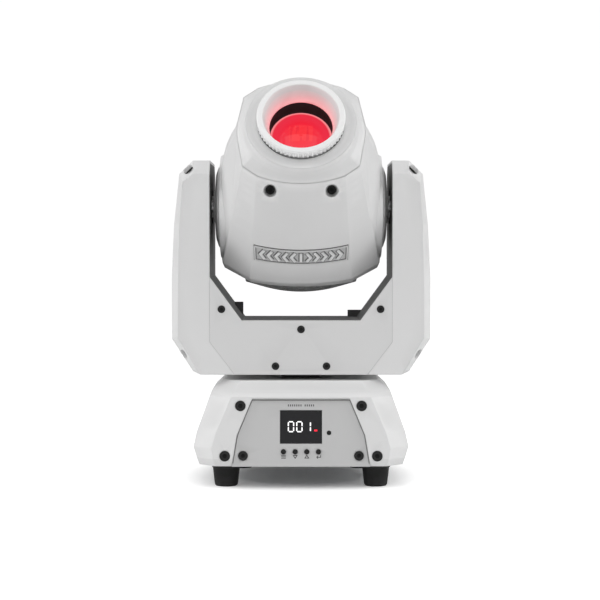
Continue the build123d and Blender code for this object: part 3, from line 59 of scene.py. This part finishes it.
def head_point(x, y, along):
    """A point of the head in metres, from millimetres across and along the beam."""
    return HEAD_MATRIX @ Vector((x * MM, y * MM, along * MM))


# ------------------------------------------------------------------ material building blocks
MIX_FACTOR, MIX_COLOUR_A, MIX_COLOUR_B = 0, 6, 7        # the mix node's sockets for colours
MIX_COLOUR = 2


class Graph:
    """A short way to wire shader nodes."""

    def __init__(self, name):
        self.material = bpy.data.materials.new(name)
        self.material.use_nodes = True
        self.nodes = self.material.node_tree.nodes
        self.links = self.material.node_tree.links
        self.nodes.clear()
        self.output = self.nodes.new("ShaderNodeOutputMaterial")
        self.shader = self.nodes.new("ShaderNodeBsdfPrincipled")
        self.links.new(self.shader.outputs[0], self.output.inputs["Surface"])
        self.coords = self.nodes.new("ShaderNodeTexCoord").outputs["Object"]

    def node(self, kind, inputs=None, **settings):
        made = self.nodes.new(kind)
        for key, value in settings.items():
            setattr(made, key, value)
        for key, value in (inputs or {}).items():
            self.put(made.inputs[key], value)
        return made

    def put(self, socket, value):
        if isinstance(value, bpy.types.NodeSocket):
            self.links.new(value, socket)
        else:
            socket.default_value = value

    def set(self, **inputs):
        for key, value in inputs.items():
            self.put(self.shader.inputs[key.replace("_", " ")], value)

    def noise(self, scale, detail=2.0, rough=0.5, coords=None):
        node = self.node("ShaderNodeTexNoise", {"Vector": coords or self.coords, "Scale": scale,
                                                "Detail": detail, "Roughness": rough})
        return node.outputs["Fac"]

    def ramp(self, value, low, high, start=0.0, end=1.0):
        node = self.node("ShaderNodeMapRange", {"Value": value, "From Min": low, "From Max": high,
                                                "To Min": start, "To Max": end})
        return node.outputs[0]

    def math(self, operation, first, second=0.0, clamp=False):
        node = self.node("ShaderNodeMath", {0: first, 1: second}, operation=operation, use_clamp=clamp)
        return node.outputs[0]

    def mix(self, factor, first, second, blend="MIX"):
        inputs = {MIX_FACTOR: factor, MIX_COLOUR_A: first, MIX_COLOUR_B: second}
        node = self.node("ShaderNodeMix", inputs, data_type="RGBA", blend_type=blend)
        return node.outputs[MIX_COLOUR]

    def bump(self, height, strength, distance, normal=None):
        node = self.node("ShaderNodeBump", {"Height": height, "Strength": strength, "Distance": distance})
        if normal is not None:
            self.put(node.inputs["Normal"], normal)
        return node.outputs[0]

    def edges(self, low=0.505, high=0.56):
        """One on outward edges and nought on flat and hollow places."""
        geometry = self.node("ShaderNodeNewGeometry")
        return self.ramp(geometry.outputs["Pointiness"], low, high)


def grey(value):
    """A neutral colour."""
    return (value, value, value, 1.0)


GLOW_FULL_R, GLOW_END_R = 0.0296, 0.0336    # where the red glow on the ring starts to fade and where it ends


def moulded(name, tone, rough=0.42, grain=1800.0, grain_depth=0.00002, wear=0.05,
            edge_radius=0.0008, sheen=0.5, glow=0.0):
    """Moulded or powder-coated plastic: fine spark texture, slow tone drift and paler handled edges.

    The glow is the red light of the lens on the plastic right beside it.
    """
    g = Graph(name)
    drift = g.noise(9.0, 3.0)
    colour = g.mix(g.ramp(drift, 0.35, 0.7), grey(tone), grey(tone * 0.955))
    speck = g.noise(2600.0, 1.0)
    colour = g.mix(g.ramp(speck, 0.66, 0.74, 0.0, 0.10), colour, grey(tone * 0.72))
    colour = g.mix(g.edges(), colour, grey(min(1.0, tone + wear)))
    g.set(Base_Color=colour, Roughness=g.ramp(g.noise(60.0, 2.0), 0.3, 0.7, rough - 0.05, rough + 0.06),
          Specular_IOR_Level=sheen)
    rounded = g.node("ShaderNodeBevel", {"Radius": edge_radius}, samples=4).outputs[0]
    g.set(Normal=g.bump(g.noise(grain, 2.0), 0.22, grain_depth, rounded))
    if glow:
        radius = beam_radius(g, beam_coords(g))
        g.set(Emission_Color=(0.85, 0.03, 0.05, 1.0),
              Emission_Strength=g.ramp(radius, GLOW_FULL_R, GLOW_END_R, glow, 0.0))
    return g.material


def rubber(name, tone=0.008):
    """Dusty black rubber."""
    g = Graph(name)
    dust = g.ramp(g.noise(140.0, 4.0), 0.45, 0.8)
    colour = g.mix(dust, grey(tone), grey(tone * 2.6))
    g.set(Base_Color=g.mix(g.edges(), colour, grey(tone * 3.5)), Roughness=g.ramp(dust, 0.0, 1.0, 0.55, 0.8),
          Specular_IOR_Level=0.3)
    g.set(Normal=g.bump(g.noise(1500.0, 3.0), 0.35, 0.00005))
    return g.material


def metal(name, colour, rough, brush=(1.0, 1.0, 30.0), depth=0.00002, metallic=1.0, wear=0.15):
    """Machined, plated or blackened metal with drawn lines along one direction."""
    g = Graph(name)
    scaled = g.node("ShaderNodeMapping", {"Vector": g.coords, "Scale": brush})
    lines = g.noise(260.0, 3.0, coords=scaled.outputs[0])
    base = tuple(colour) + (1.0,)
    darker = tuple(c * 0.8 for c in colour) + (1.0,)
    worn = tuple(min(1.0, c + wear) for c in colour) + (1.0,)
    tone = g.mix(g.ramp(lines, 0.3, 0.7), darker, base)
    g.set(Base_Color=g.mix(g.edges(), tone, worn), Metallic=metallic,
          Roughness=g.ramp(lines, 0.3, 0.7, rough - 0.06, rough + 0.08))
    g.set(Normal=g.bump(lines, 0.3, depth))
    return g.material


def glass(name, colour=(0.95, 0.97, 0.97), rough=0.02):
    """Clear or tinted glass with faint smears."""
    g = Graph(name)
    smear = g.ramp(g.noise(35.0, 4.0), 0.5, 0.8, rough, rough + 0.06)
    g.set(Base_Color=tuple(colour) + (1.0,), Roughness=smear, Transmission_Weight=1.0, IOR=1.5)
    g.set(Normal=g.bump(g.noise(200.0), 0.05, 0.00001))
    return g.material


def circuit(name):
    """A green board with a faint grid of copper tracks."""
    g = Graph(name)
    tracks = g.node("ShaderNodeTexBrick", {
        "Vector": g.coords,
        "Color1": (0.012, 0.16, 0.06, 1.0),
        "Color2": (0.01, 0.11, 0.045, 1.0),
        "Mortar": (0.05, 0.30, 0.10, 1.0),
        "Scale": 260.0,
        "Mortar Size": 0.03,
    })
    g.set(Base_Color=tracks.outputs["Color"], Roughness=g.ramp(g.noise(300.0), 0.3, 0.7, 0.28, 0.42))
    g.set(Normal=g.bump(tracks.outputs["Fac"], 0.4, 0.00004))
    return g.material


def beam_coords(g, along=0.0):
    """Coordinates on the beam, in metres across it and along it from a point on it."""
    place = HEAD_MATRIX @ Matrix.Translation((0, 0, along))
    mapping = g.node("ShaderNodeMapping", {"Vector": g.coords, "Location": place.translation,
                                           "Rotation": place.to_euler()}, vector_type="TEXTURE")
    return mapping.outputs[0]


def beam_radius(g, local):
    """The distance from the axis of the beam, in metres."""
    split = g.node("ShaderNodeSeparateXYZ", {"Vector": local})
    x, y = split.outputs[0], split.outputs[1]
    return g.math("SQRT", g.math("ADD", g.math("MULTIPLY", x, x), g.math("MULTIPLY", y, y)))


LENS_GLOW, LENS_SPILL = 1.0, 0.18         # how bright the lens looks, and how much red it throws
LENS_MIDDLE, LENS_RIM = 0.119, 0.0292     # its place along the beam and its radius, in metres
LAMP_HALF_X, LAMP_HALF_Y, LAMP_SHIFT = 0.0105, 0.0085, 0.002
LAMP_BLUR = 0.001


def lit_lens(name):
    """The front lens lit red from inside: a reflected lamp in the middle and a paler ring at the rim."""
    g = Graph(name)
    local = beam_coords(g, LENS_MIDDLE)
    split = g.node("ShaderNodeSeparateXYZ", {"Vector": local})
    x, y = split.outputs[0], split.outputs[1]
    part = g.math("DIVIDE", beam_radius(g, local), LENS_RIM)
    deep, bright, pale = (0.80, 0.03, 0.06, 1.0), (0.87, 0.006, 0.018, 1.0), (0.92, 0.25, 0.27, 1.0)
    colour = g.mix(g.ramp(part, 0.15, 0.75), bright, deep)
    from_x = g.math("ABSOLUTE", x)
    from_y = g.math("ABSOLUTE", g.math("SUBTRACT", y, LAMP_SHIFT))
    inside_x = g.ramp(from_x, LAMP_HALF_X, LAMP_HALF_X + LAMP_BLUR, 1.0, 0.0)
    inside_y = g.ramp(from_y, LAMP_HALF_Y, LAMP_HALF_Y + LAMP_BLUR, 1.0, 0.0)
    lamp = g.math("MULTIPLY", g.math("MULTIPLY", inside_x, inside_y), 0.5)
    colour = g.mix(lamp, colour, (0.90, 0.04, 0.05, 1.0))
    stretched = g.node("ShaderNodeMapping", {"Vector": local, "Scale": (260.0, 40.0, 1.0)}).outputs[0]
    streaks = g.noise(1.0, 1.0, coords=stretched)
    colour = g.mix(g.math("MULTIPLY", g.ramp(streaks, 0.52, 0.62), lamp), colour, (0.75, 0.0, 0.02, 1.0))
    colour = g.mix(g.ramp(part, 0.90, 0.955), colour, pale)
    seen = g.node("ShaderNodeLightPath").outputs["Is Camera Ray"]
    g.set(Base_Color=(0.10, 0.0, 0.004, 1.0), Emission_Color=colour,
          Emission_Strength=g.ramp(seen, 0.0, 1.0, LENS_SPILL, LENS_GLOW),
          Roughness=g.ramp(g.noise(60.0, 4.0), 0.5, 0.8, 0.02, 0.10), Specular_IOR_Level=0.35)
    g.set(Normal=g.bump(g.noise(90.0), 0.03, 0.00002))
    return g.material


def screen_glass(name):
    """A dark display with a barely visible pixel grid and finger smears."""
    g = Graph(name)
    pixels = g.node("ShaderNodeTexBrick", {
        "Vector": g.coords,
        "Color1": (0.028, 0.029, 0.032, 1.0),
        "Color2": (0.030, 0.031, 0.034, 1.0),
        "Mortar": (0.014, 0.014, 0.016, 1.0),
        "Scale": 1500.0,
        "Mortar Size": 0.12,
    }, offset=0.0)
    g.set(Base_Color=pixels.outputs["Color"], Roughness=g.ramp(g.noise(30.0, 5.0), 0.45, 0.75, 0.06, 0.22))
    g.set(Normal=g.bump(g.noise(300.0), 0.04, 0.00001))
    return g.material


def ink(name, tone, strength=0.0, colour=None):
    """Printed marks, or lit marks on the display when a strength is given."""
    g = Graph(name)
    base = grey(tone) if colour is None else tuple(colour) + (1.0,)
    faded = tuple(min(1.0, c * 1.25 + 0.01) for c in base[:3]) + (1.0,)
    g.set(Base_Color=g.mix(g.noise(500.0, 3.0), base, faded),
          Roughness=g.ramp(g.noise(900.0), 0.3, 0.7, 0.4, 0.6))
    g.set(Normal=g.bump(g.noise(3000.0), 0.1, 0.00001))
    if strength:
        g.set(Emission_Color=base, Emission_Strength=strength)
    return g.material


WHITE = 0.80
LOOKS = {
    "white_shell": moulded("white_shell", WHITE, rough=0.40, edge_radius=0.0016),
    "white_crossbar": moulded("white_crossbar", WHITE * 0.93, rough=0.45, grain=1400.0, grain_depth=0.00003),
    # painted light: the ring is made paler than the other white plastic to stand in for the top-front light it
    # catches; its glow is the red light of the lens
    "white_ring": moulded("white_ring", WHITE * 1.2, rough=0.34, glow=0.6),
    # painted shade: the cap's grey tone stands in for the shade on this downward and rearward facing cap
    "grey_cap": moulded("grey_cap", 0.42, rough=0.5),
    # painted shade: the panel's grey tone stands in for the shade it sits in, recessed below the yoke
    "white_panel": moulded("white_panel", 0.58, rough=0.5, grain=1200.0, grain_depth=0.00003),
    # painted shade: the liner's dark grey stands in for the shade on the inner walls of the yoke
    "grey_liner": moulded("grey_liner", 0.16, rough=0.6, wear=0.02, sheen=0.3),
    "black_rubber": rubber("black_rubber"),
    "black_screw": moulded("black_screw", 0.006, rough=0.5, grain=900.0, wear=0.02,
                           edge_radius=0.0003, sheen=0.25),
    "black_plastic": moulded("black_plastic", 0.008, rough=0.45, wear=0.015, edge_radius=0.0003, sheen=0.25),
    "screen": screen_glass("screen"),
    "circuit_board": circuit("circuit_board"),
    "steel_sheet": metal("steel_sheet", (0.52, 0.53, 0.54), 0.34),
    "steel_bright": metal("steel_bright", (0.62, 0.62, 0.63), 0.2, brush=(30.0, 1.0, 1.0)),
    "dark_metal": metal("dark_metal", (0.042, 0.040, 0.041), 0.5, metallic=0.3, wear=0.04),
    "aluminium": metal("aluminium", (0.66, 0.67, 0.69), 0.3),
    "belt_rubber": rubber("belt_rubber", 0.014),
    "lens_glass": lit_lens("lens_glass"),
    "clear_glass": glass("clear_glass"),
    "filter_glass": glass("filter_glass", (0.95, 0.35, 0.12)),
}
SLOT_OF = {part["node"]: part["material_slot"] for part in frame["record"]["subparts"]}


for node, piece in NODES.items():
    piece.data.materials.clear()
    piece.data.materials.append(LOOKS[SLOT_OF[node]])


# ------------------------------------------------------------------ raised and printed marks
def resample(points, step, closed=False):
    """Extra points along a polyline so that none are further apart than the step."""
    loop = points + points[:1] if closed else points
    made = []
    for (ax, ay), (bx, by) in zip(loop, loop[1:]):
        count = max(1, math.ceil(math.hypot(bx - ax, by - ay) / step))
        made += [(ax + (bx - ax) * i / count, ay + (by - ay) * i / count) for i in range(count)]
    return made if closed else made + [loop[-1]]


def stroke_sides(points, width, closed=False):
    """The two sides of a stroke of a given width along a polyline."""
    sides = []
    count = len(points)
    for i, (x, y) in enumerate(points):
        before = points[i - 1] if (i or closed) else points[0]
        after = points[(i + 1) % count] if (i < count - 1 or closed) else points[-1]
        into = Vector((x - before[0], y - before[1]))
        out = Vector((after[0] - x, after[1] - y))
        into = into.normalized() if into.length else out.normalized()
        out = out.normalized() if out.length else into
        across = Vector((-into.y - out.y, into.x + out.x)).normalized()
        half = width / 2 / max(0.4, across.dot(Vector((-out.y, out.x))))
        sides.append(((x + across.x * half, y + across.y * half), (x - across.x * half, y - across.y * half)))
    return sides


def raised_strokes(name, strokes, place, height, sink, material, body, step=2.0):
    """One piece of raised strokes. Each stroke is (points, width, closed) in millimetres on a surface."""
    mesh = bmesh.new()
    for points, width, closed in strokes:
        rings = []
        for left, right in stroke_sides(resample(points, step, closed), width, closed):
            corners = []
            for (x, y), level in ((left, height), (right, height), (right, -sink), (left, -sink)):
                point, normal = place(x, y)
                corners.append(mesh.verts.new(point + normal * (level * MM)))
            rings.append(corners)
        pairs = list(zip(rings, rings[1:])) + ([(rings[-1], rings[0])] if closed else [])
        for first, second in pairs:
            for k in range(4):
                mesh.faces.new((first[k], first[(k + 1) % 4], second[(k + 1) % 4], second[k]))
        if not closed:
            mesh.faces.new(rings[0][::-1])
            mesh.faces.new(rings[-1])
    bmesh.ops.recalc_face_normals(mesh, faces=mesh.faces)
    return add_piece(name, mesh, material, body)


def add_piece(name, mesh, material, body, smooth=False):
    """Make a named piece of a mesh and let it ride on a body."""
    data = bpy.data.meshes.new(name)
    mesh.to_mesh(data)
    mesh.free()
    data.materials.append(material)
    for face in data.polygons:
        face.use_smooth = smooth
    piece = bpy.data.objects.new(name, data)
    bpy.context.scene.collection.objects.link(piece)
    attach(piece, body)
    return piece


def surface_of(node):
    """A search tree of a part's own surface."""
    data = NODES[node].data
    points = [vertex.co.copy() for vertex in data.vertices]
    faces = [tuple(face.vertices) for face in data.polygons]
    return BVHTree.FromPolygons(points, faces)


BELLY = surface_of("head_belly_shell")


OUTSIDE_HEAD = -120.0


def on_belly(x, along):
    """The belly surface under a point given across the head and along the beam."""
    start = head_point(x, OUTSIDE_HEAD, along)
    hit, normal, _, _ = BELLY.ray_cast(start, BACK)
    if normal.dot(BACK) > 0:
        normal = -normal
    return hit, normal


# a raised band on the belly: a grey floor that is painted shade as in a recess, dark shoulders that are painted
# shadow outlining the marks, and white chevrons inside a white rim
BADGE_LOW, BADGE_HIGH, BADGE_HALF = 20.0, 38.5, 44.0
BADGE_MIDDLE = (BADGE_LOW + BADGE_HIGH) / 2
BADGE_END, BADGE_EDGE = 3.5, 3.2            # free space at the band's ends, and above and below its marks
CHEVRONS = 11
CHEVRON_LEAN = 1.9
SINK = 0.6                                  # how far the strokes reach below the surface


def badge_marks(width):
    """A row of plain chevrons that point away from the middle of the band."""
    pitch = 2 * (BADGE_HALF - BADGE_END) / CHEVRONS
    low, high = BADGE_LOW + BADGE_EDGE, BADGE_HIGH - BADGE_EDGE
    centre = CHEVRONS // 2
    strokes = []
    for k in range(CHEVRONS):
        x = BADGE_END - BADGE_HALF + pitch * (k + 0.5)
        lean = CHEVRON_LEAN * ((k < centre) - (k > centre))
        strokes.append(([(x + lean, low), (x - lean, BADGE_MIDDLE), (x + lean, high)], width, False))
    return strokes


def badge_rim(width):
    """The outline of the band."""
    corners = [(side * BADGE_HALF, height) for side, height in ((-1, BADGE_LOW), (1, BADGE_LOW),
                                                                (1, BADGE_HIGH), (-1, BADGE_HIGH))]
    return [(corners, width, True)]


band = [([(-BADGE_HALF, BADGE_MIDDLE), (BADGE_HALF, BADGE_MIDDLE)], BADGE_HIGH - BADGE_LOW, False)]
for name, strokes, level, look in (
    # painted shade: the darker grey floor of the band
    ("badge_painted_shade_plate", band, 0.25, moulded("badge_painted_shade_floor", WHITE * 0.62, rough=0.5)),
    # painted shadow: dark strokes wider than the white ones, outlining them
    ("badge_painted_shadow", badge_marks(4.8) + badge_rim(2.4), 0.6, moulded("badge_painted_shadow_dark", WHITE * 0.13)),
    ("badge_chevrons", badge_marks(2.7), 1.5, LOOKS["white_shell"]),
    ("badge_rim", badge_rim(1.1), 1.4, LOOKS["white_shell"]),
):
    raised_strokes(name, strokes, on_belly, level, SINK, look, "head")

# the way out of the leaning control panel
PANEL_OUT = -PRESS
PANEL = surface_of("control_panel")
SCREEN = surface_of("display_module")


IN_FRONT = -200.0


def on_face(tree, x, height):
    """A point of a leaning face at a width and a height above the floor, in millimetres."""
    start = Vector((x * MM, IN_FRONT * MM, FLOOR_Z + height * MM))
    hit, _, _, _ = tree.ray_cast(start, Vector((0, 1, 0)))
    return hit, PANEL_OUT


def on_panel(x, height):
    """A place on the control panel."""
    return on_face(PANEL, x, height)


def on_screen(x, height):
    """A place on the display."""
    return on_face(SCREEN, x, height)


# printed symbols under the four buttons: three bars, two triangles and a return arrow
BUTTON_X = {}
for name in ("menu", "down", "up", "enter"):
    low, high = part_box("button_" + name)
    BUTTON_X[name] = (low.x + high.x) / 2 / MM
LEGEND_Z, LINE = 30.2, 0.7                  # height of the symbols above the floor, and their line width
BAR_HALF, BAR_PITCH = 2.2, 1.3
TRIANGLE_HALF, TRIANGLE_TIP, TRIANGLE_FOOT = 1.8, 1.4, 1.2
INK_HEIGHT, INK_SINK = 0.03, 0.2


def bar_symbol(x):
    """Three bars above one another."""
    levels = [LEGEND_Z + k * BAR_PITCH for k in (1, 0, -1)]
    return [([(x - BAR_HALF, level), (x + BAR_HALF, level)], LINE, False) for level in levels]


def triangle_symbol(x, turn):
    """A triangle that points up (1) or down (-1)."""
    foot = LEGEND_Z - turn * TRIANGLE_FOOT
    tip = LEGEND_Z + turn * TRIANGLE_TIP
    return [([(x - TRIANGLE_HALF, foot), (x + TRIANGLE_HALF, foot), (x, tip)], LINE, True)]


def return_symbol(x):
    """A line that turns back to the left, with an arrow head."""
    level = LEGEND_Z - 0.4
    shaft = [(x + 2.0, LEGEND_Z + 1.4), (x + 2.0, level), (x - 1.6, level)]
    head = [(x - 0.5, level + 1.2), (x - 1.7, level), (x - 0.5, level - 1.2)]
    return [(shaft, LINE, False), (head, LINE, False)]


# a broken line above the display, in the place of a heading
HEADING_LOW, HEADING_HIGH = 77.1, 79.0
HEADING_PITCH, HEADING_WIDTH, HEADING_TICKS, HEADING_GAP = 2.0, 0.95, 6, 1
heading = [([(k * HEADING_PITCH, HEADING_LOW), (k * HEADING_PITCH, HEADING_HIGH)], HEADING_WIDTH, False)
           for k in range(-HEADING_TICKS, HEADING_TICKS + 1) if k != HEADING_GAP]

legend = bar_symbol(BUTTON_X["menu"])
legend += triangle_symbol(BUTTON_X["down"], -1)
legend += triangle_symbol(BUTTON_X["up"], 1)
legend += return_symbol(BUTTON_X["enter"])
legend += heading
raised_strokes("panel_legend", legend, on_panel, INK_HEIGHT, INK_SINK, ink("panel_ink", 0.05), "base",
               step=1.0)

# painted shade: a dark line in the corner between the window of the shell and the panel, standing in for the shade
# in that recessed corner
SHADE_LINE = [(64.6, 24.0), (60.4, 50.0), (46.6, 83.0)]
SHADE_LINE_WIDTH, SHADE_LINE_HEIGHT = 0.8, 0.3
shade_line_path = SHADE_LINE + [(-x, z) for x, z in reversed(SHADE_LINE)]
raised_strokes("panel_painted_shade_line", [(shade_line_path, SHADE_LINE_WIDTH, False)], on_panel, SHADE_LINE_HEIGHT, SHADE_LINE_HEIGHT,
               rubber("painted_shade_line_dark", 0.06), "base")

# parting lines between the arm covers and the crossbar covers
SEAM = [(88.4, 199.0), (88.4, 137.0), (64.8, 106.0)]
SEAM_WIDTH, SEAM_HEIGHT, SEAM_SINK = 0.35, 0.02, 0.2


def on_yoke_side(name, out):
    """A place on the flat front or rear of the yoke."""
    low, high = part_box(name)
    y = low.y if out < 0 else high.y

    def place(x, height):
        return Vector((x * MM, y, FLOOR_Z + height * MM)), Vector((0, out, 0))

    return place


seams = [([(side * x, z) for x, z in SEAM], SEAM_WIDTH, False) for side in (1, -1)]
for name, cover, out in (("seam_front", "crossbar_cover_front", -1), ("seam_rear", "crossbar_cover_rear", 1)):
    raised_strokes(name, seams, on_yoke_side(cover, out), SEAM_HEIGHT, SEAM_SINK, rubber(name, 0.16), "yoke",
                   step=8.0)

# a dark status lamp in its round hole
LAMP_X, LAMP_Z, LAMP_R = 26.6, 53.0, 2.1
LAMP_DEPTH = 1.4                            # how far its middle lies behind the panel's face
BESIDE_HOLE = 3.2
lamp = bmesh.new()
bmesh.ops.create_uvsphere(lamp, u_segments=24, v_segments=12, radius=LAMP_R * MM)
lamp_spot = on_panel(LAMP_X + BESIDE_HOLE, LAMP_Z)[0] - SIDE * (BESIDE_HOLE * MM)
lamp_place = Matrix.Translation(lamp_spot - PANEL_OUT * (LAMP_DEPTH * MM))
bmesh.ops.transform(lamp, matrix=lamp_place, verts=lamp.verts)
add_piece("status_lamp", lamp, LOOKS["black_plastic"], "base", smooth=True)

# three generic seven-bar digits and a small status bar on the display
SEGMENTS = {"top": ((0, 2), (1, 2)), "high_left": ((0, 1), (0, 2)), "high_right": ((1, 1), (1, 2)),
            "mid": ((0, 1), (1, 1)), "low_left": ((0, 0), (0, 1)), "low_right": ((1, 0), (1, 1)),
            "bottom": ((0, 0), (1, 0))}
DIGITS = {"0": ["top", "high_left", "high_right", "low_left", "low_right", "bottom"],
          "1": ["high_right", "low_right"]}
DIGIT_W, DIGIT_H, DIGIT_GAP = 5.0, 4.6, 0.55
DIGIT_SPACE, DIGIT_LINE = 3.0, 1.1
LIT_HEIGHT, LIT_SINK = 0.03, 0.1


def digit_strokes(text, left, low):
    """The lit bars of the digits, from the lower left corner of the first."""
    strokes = []
    for index, letter in enumerate(text):
        offset = left + index * (DIGIT_W + DIGIT_SPACE)
        for segment in DIGITS[letter]:
            (ax, ay), (bx, by) = SEGMENTS[segment]
            start = Vector((offset + ax * DIGIT_W, low + ay * DIGIT_H))
            end = Vector((offset + bx * DIGIT_W, low + by * DIGIT_H))
            trim = (end - start).normalized() * DIGIT_GAP
            strokes.append(([tuple(start + trim), tuple(end - trim)], DIGIT_LINE, False))
    return strokes


DIGITS_LEFT, DIGITS_LOW = -12.0, 53.5
STATUS_BAR, STATUS_WIDTH = [(12.5, 54.6), (15.5, 54.6)], 1.6
digits = digit_strokes("001", DIGITS_LEFT, DIGITS_LOW)
raised_strokes("screen_digits", digits, on_screen, LIT_HEIGHT, LIT_SINK,
               ink("screen_white", 0.85, 0.8), "base")
raised_strokes("screen_status", [(STATUS_BAR, STATUS_WIDTH, False)], on_screen, LIT_HEIGHT, LIT_SINK,
               ink("screen_red", 0.8, 0.9, colour=(0.8, 0.01, 0.03)), "base")


# ------------------------------------------------------------------ camera, floor and light
CAMERA_DISTANCE, CAMERA_HEIGHT = 1.580, 0.228
CAMERA_PITCH, CAMERA_YAW = math.radians(1.885), math.radians(0.036)
CAMERA_LENS, CAMERA_SENSOR = 94.8, 36.0


def place_camera():
    """A camera in front of the object, nearly level."""
    data = bpy.data.cameras.new("camera")
    data.lens = CAMERA_LENS
    data.sensor_width = CAMERA_SENSOR
    camera = bpy.data.objects.new("camera", data)
    camera.location = (0.0, -CAMERA_DISTANCE, FLOOR_Z + CAMERA_HEIGHT)
    camera.rotation_euler = (math.radians(90.0) - CAMERA_PITCH, 0.0, CAMERA_YAW)
    bpy.context.scene.collection.objects.link(camera)
    bpy.context.scene.camera = camera


# grey surroundings light the object, and only the camera sees the white backdrop
SKY_TOP, SKY_LEVEL, SKY_LOW = 0.55, 0.405, 0.40
SKY_LOW_AT, SKY_LEVEL_AT, SKY_TOP_AT = 0.3, 0.5, 1.0        # 0 is straight down and 1 straight up
BACKDROP = 1.02


def make_sky():
    """The world: a soft grey gradient for the light and a white backdrop for the camera."""
    world = bpy.data.worlds.new("studio")
    world.use_nodes = True
    sky = world.node_tree.nodes
    links = world.node_tree.links
    direction = sky.new("ShaderNodeSeparateXYZ")
    links.new(sky.new("ShaderNodeTexCoord").outputs["Generated"], direction.inputs[0])
    height = sky.new("ShaderNodeValToRGB")
    height.color_ramp.elements[0].position = SKY_LOW_AT
    height.color_ramp.elements[0].color = grey(SKY_LOW)
    height.color_ramp.elements[1].position = SKY_TOP_AT
    height.color_ramp.elements[1].color = grey(SKY_TOP)
    height.color_ramp.elements.new(SKY_LEVEL_AT).color = grey(SKY_LEVEL)
    lift = sky.new("ShaderNodeMapRange")
    lift.inputs["From Min"].default_value = -1.0
    links.new(direction.outputs[2], lift.inputs["Value"])
    links.new(lift.outputs[0], height.inputs[0])
    links.new(height.outputs[0], sky["Background"].inputs["Color"])
    backdrop = sky.new("ShaderNodeBackground")
    backdrop.inputs["Color"].default_value = grey(1.0)
    backdrop.inputs["Strength"].default_value = BACKDROP
    choose = sky.new("ShaderNodeMixShader")
    links.new(sky.new("ShaderNodeLightPath").outputs["Is Camera Ray"], choose.inputs[0])
    links.new(sky["Background"].outputs[0], choose.inputs[1])
    links.new(backdrop.outputs[0], choose.inputs[2])
    links.new(choose.outputs[0], sky["World Output"].inputs[0])
    bpy.context.scene.world = world


# the floor turns from plain pale to the backdrop's white over this range from the middle, in metres
LIFT_START, LIFT_FULL = 0.06, 0.155
FLOOR_LIFT = 0.60
FLOOR_REACH = 30.0


def make_floor():
    """A plain pale floor that the camera sees fade into the backdrop."""
    g = Graph("studio_floor")
    seen = g.node("ShaderNodeLightPath").outputs["Is Camera Ray"]
    away = g.node("ShaderNodeVectorMath", {0: g.coords}, operation="LENGTH").outputs["Value"]
    lift = g.ramp(away, LIFT_START, LIFT_FULL, 0.0, FLOOR_LIFT)
    g.set(Base_Color=g.mix(g.noise(3.0), grey(0.92), grey(0.95)), Roughness=0.8,
          Specular_IOR_Level=0.0, Emission_Color=grey(1.0),
          Emission_Strength=g.math("MULTIPLY", seen, lift))
    mesh = bpy.data.meshes.new("studio_floor")
    corners = [(x * FLOOR_REACH, y * FLOOR_REACH, 0) for x, y in ((-1, -1), (1, -1), (1, 1), (-1, 1))]
    mesh.from_pydata(corners, [], [(0, 1, 2, 3)])
    mesh.materials.append(g.material)
    floor = bpy.data.objects.new("studio_floor", mesh)
    floor.location = (0.0, 0.0, FLOOR_Z)
    bpy.context.scene.collection.objects.link(floor)


MIDDLE = (0.0, 0.0, 0.2)


def area_light(name, place, size, power):
    """A soft lamp that faces the middle of the object."""
    data = bpy.data.lights.new(name, "AREA")
    data.shape = "RECTANGLE"
    data.size, data.size_y = size
    data.energy = power
    light = bpy.data.objects.new(name, data)
    light.location = place
    light.rotation_euler = (Vector(MIDDLE) - Vector(place)).to_track_quat("-Z", "Y").to_euler()
    bpy.context.scene.collection.objects.link(light)


place_camera()
make_sky()
make_floor()
area_light("key_top_front", (0.0, -1.3, 1.9), (1.6, 1.0), 5.3)
for name, side in (("fill_left", -1), ("fill_right", 1)):
    area_light(name, (side * 1.45, -0.22, 1.05), (1.0, 1.2), 9.5)
bpy.context.scene.view_settings.view_transform = "Standard"
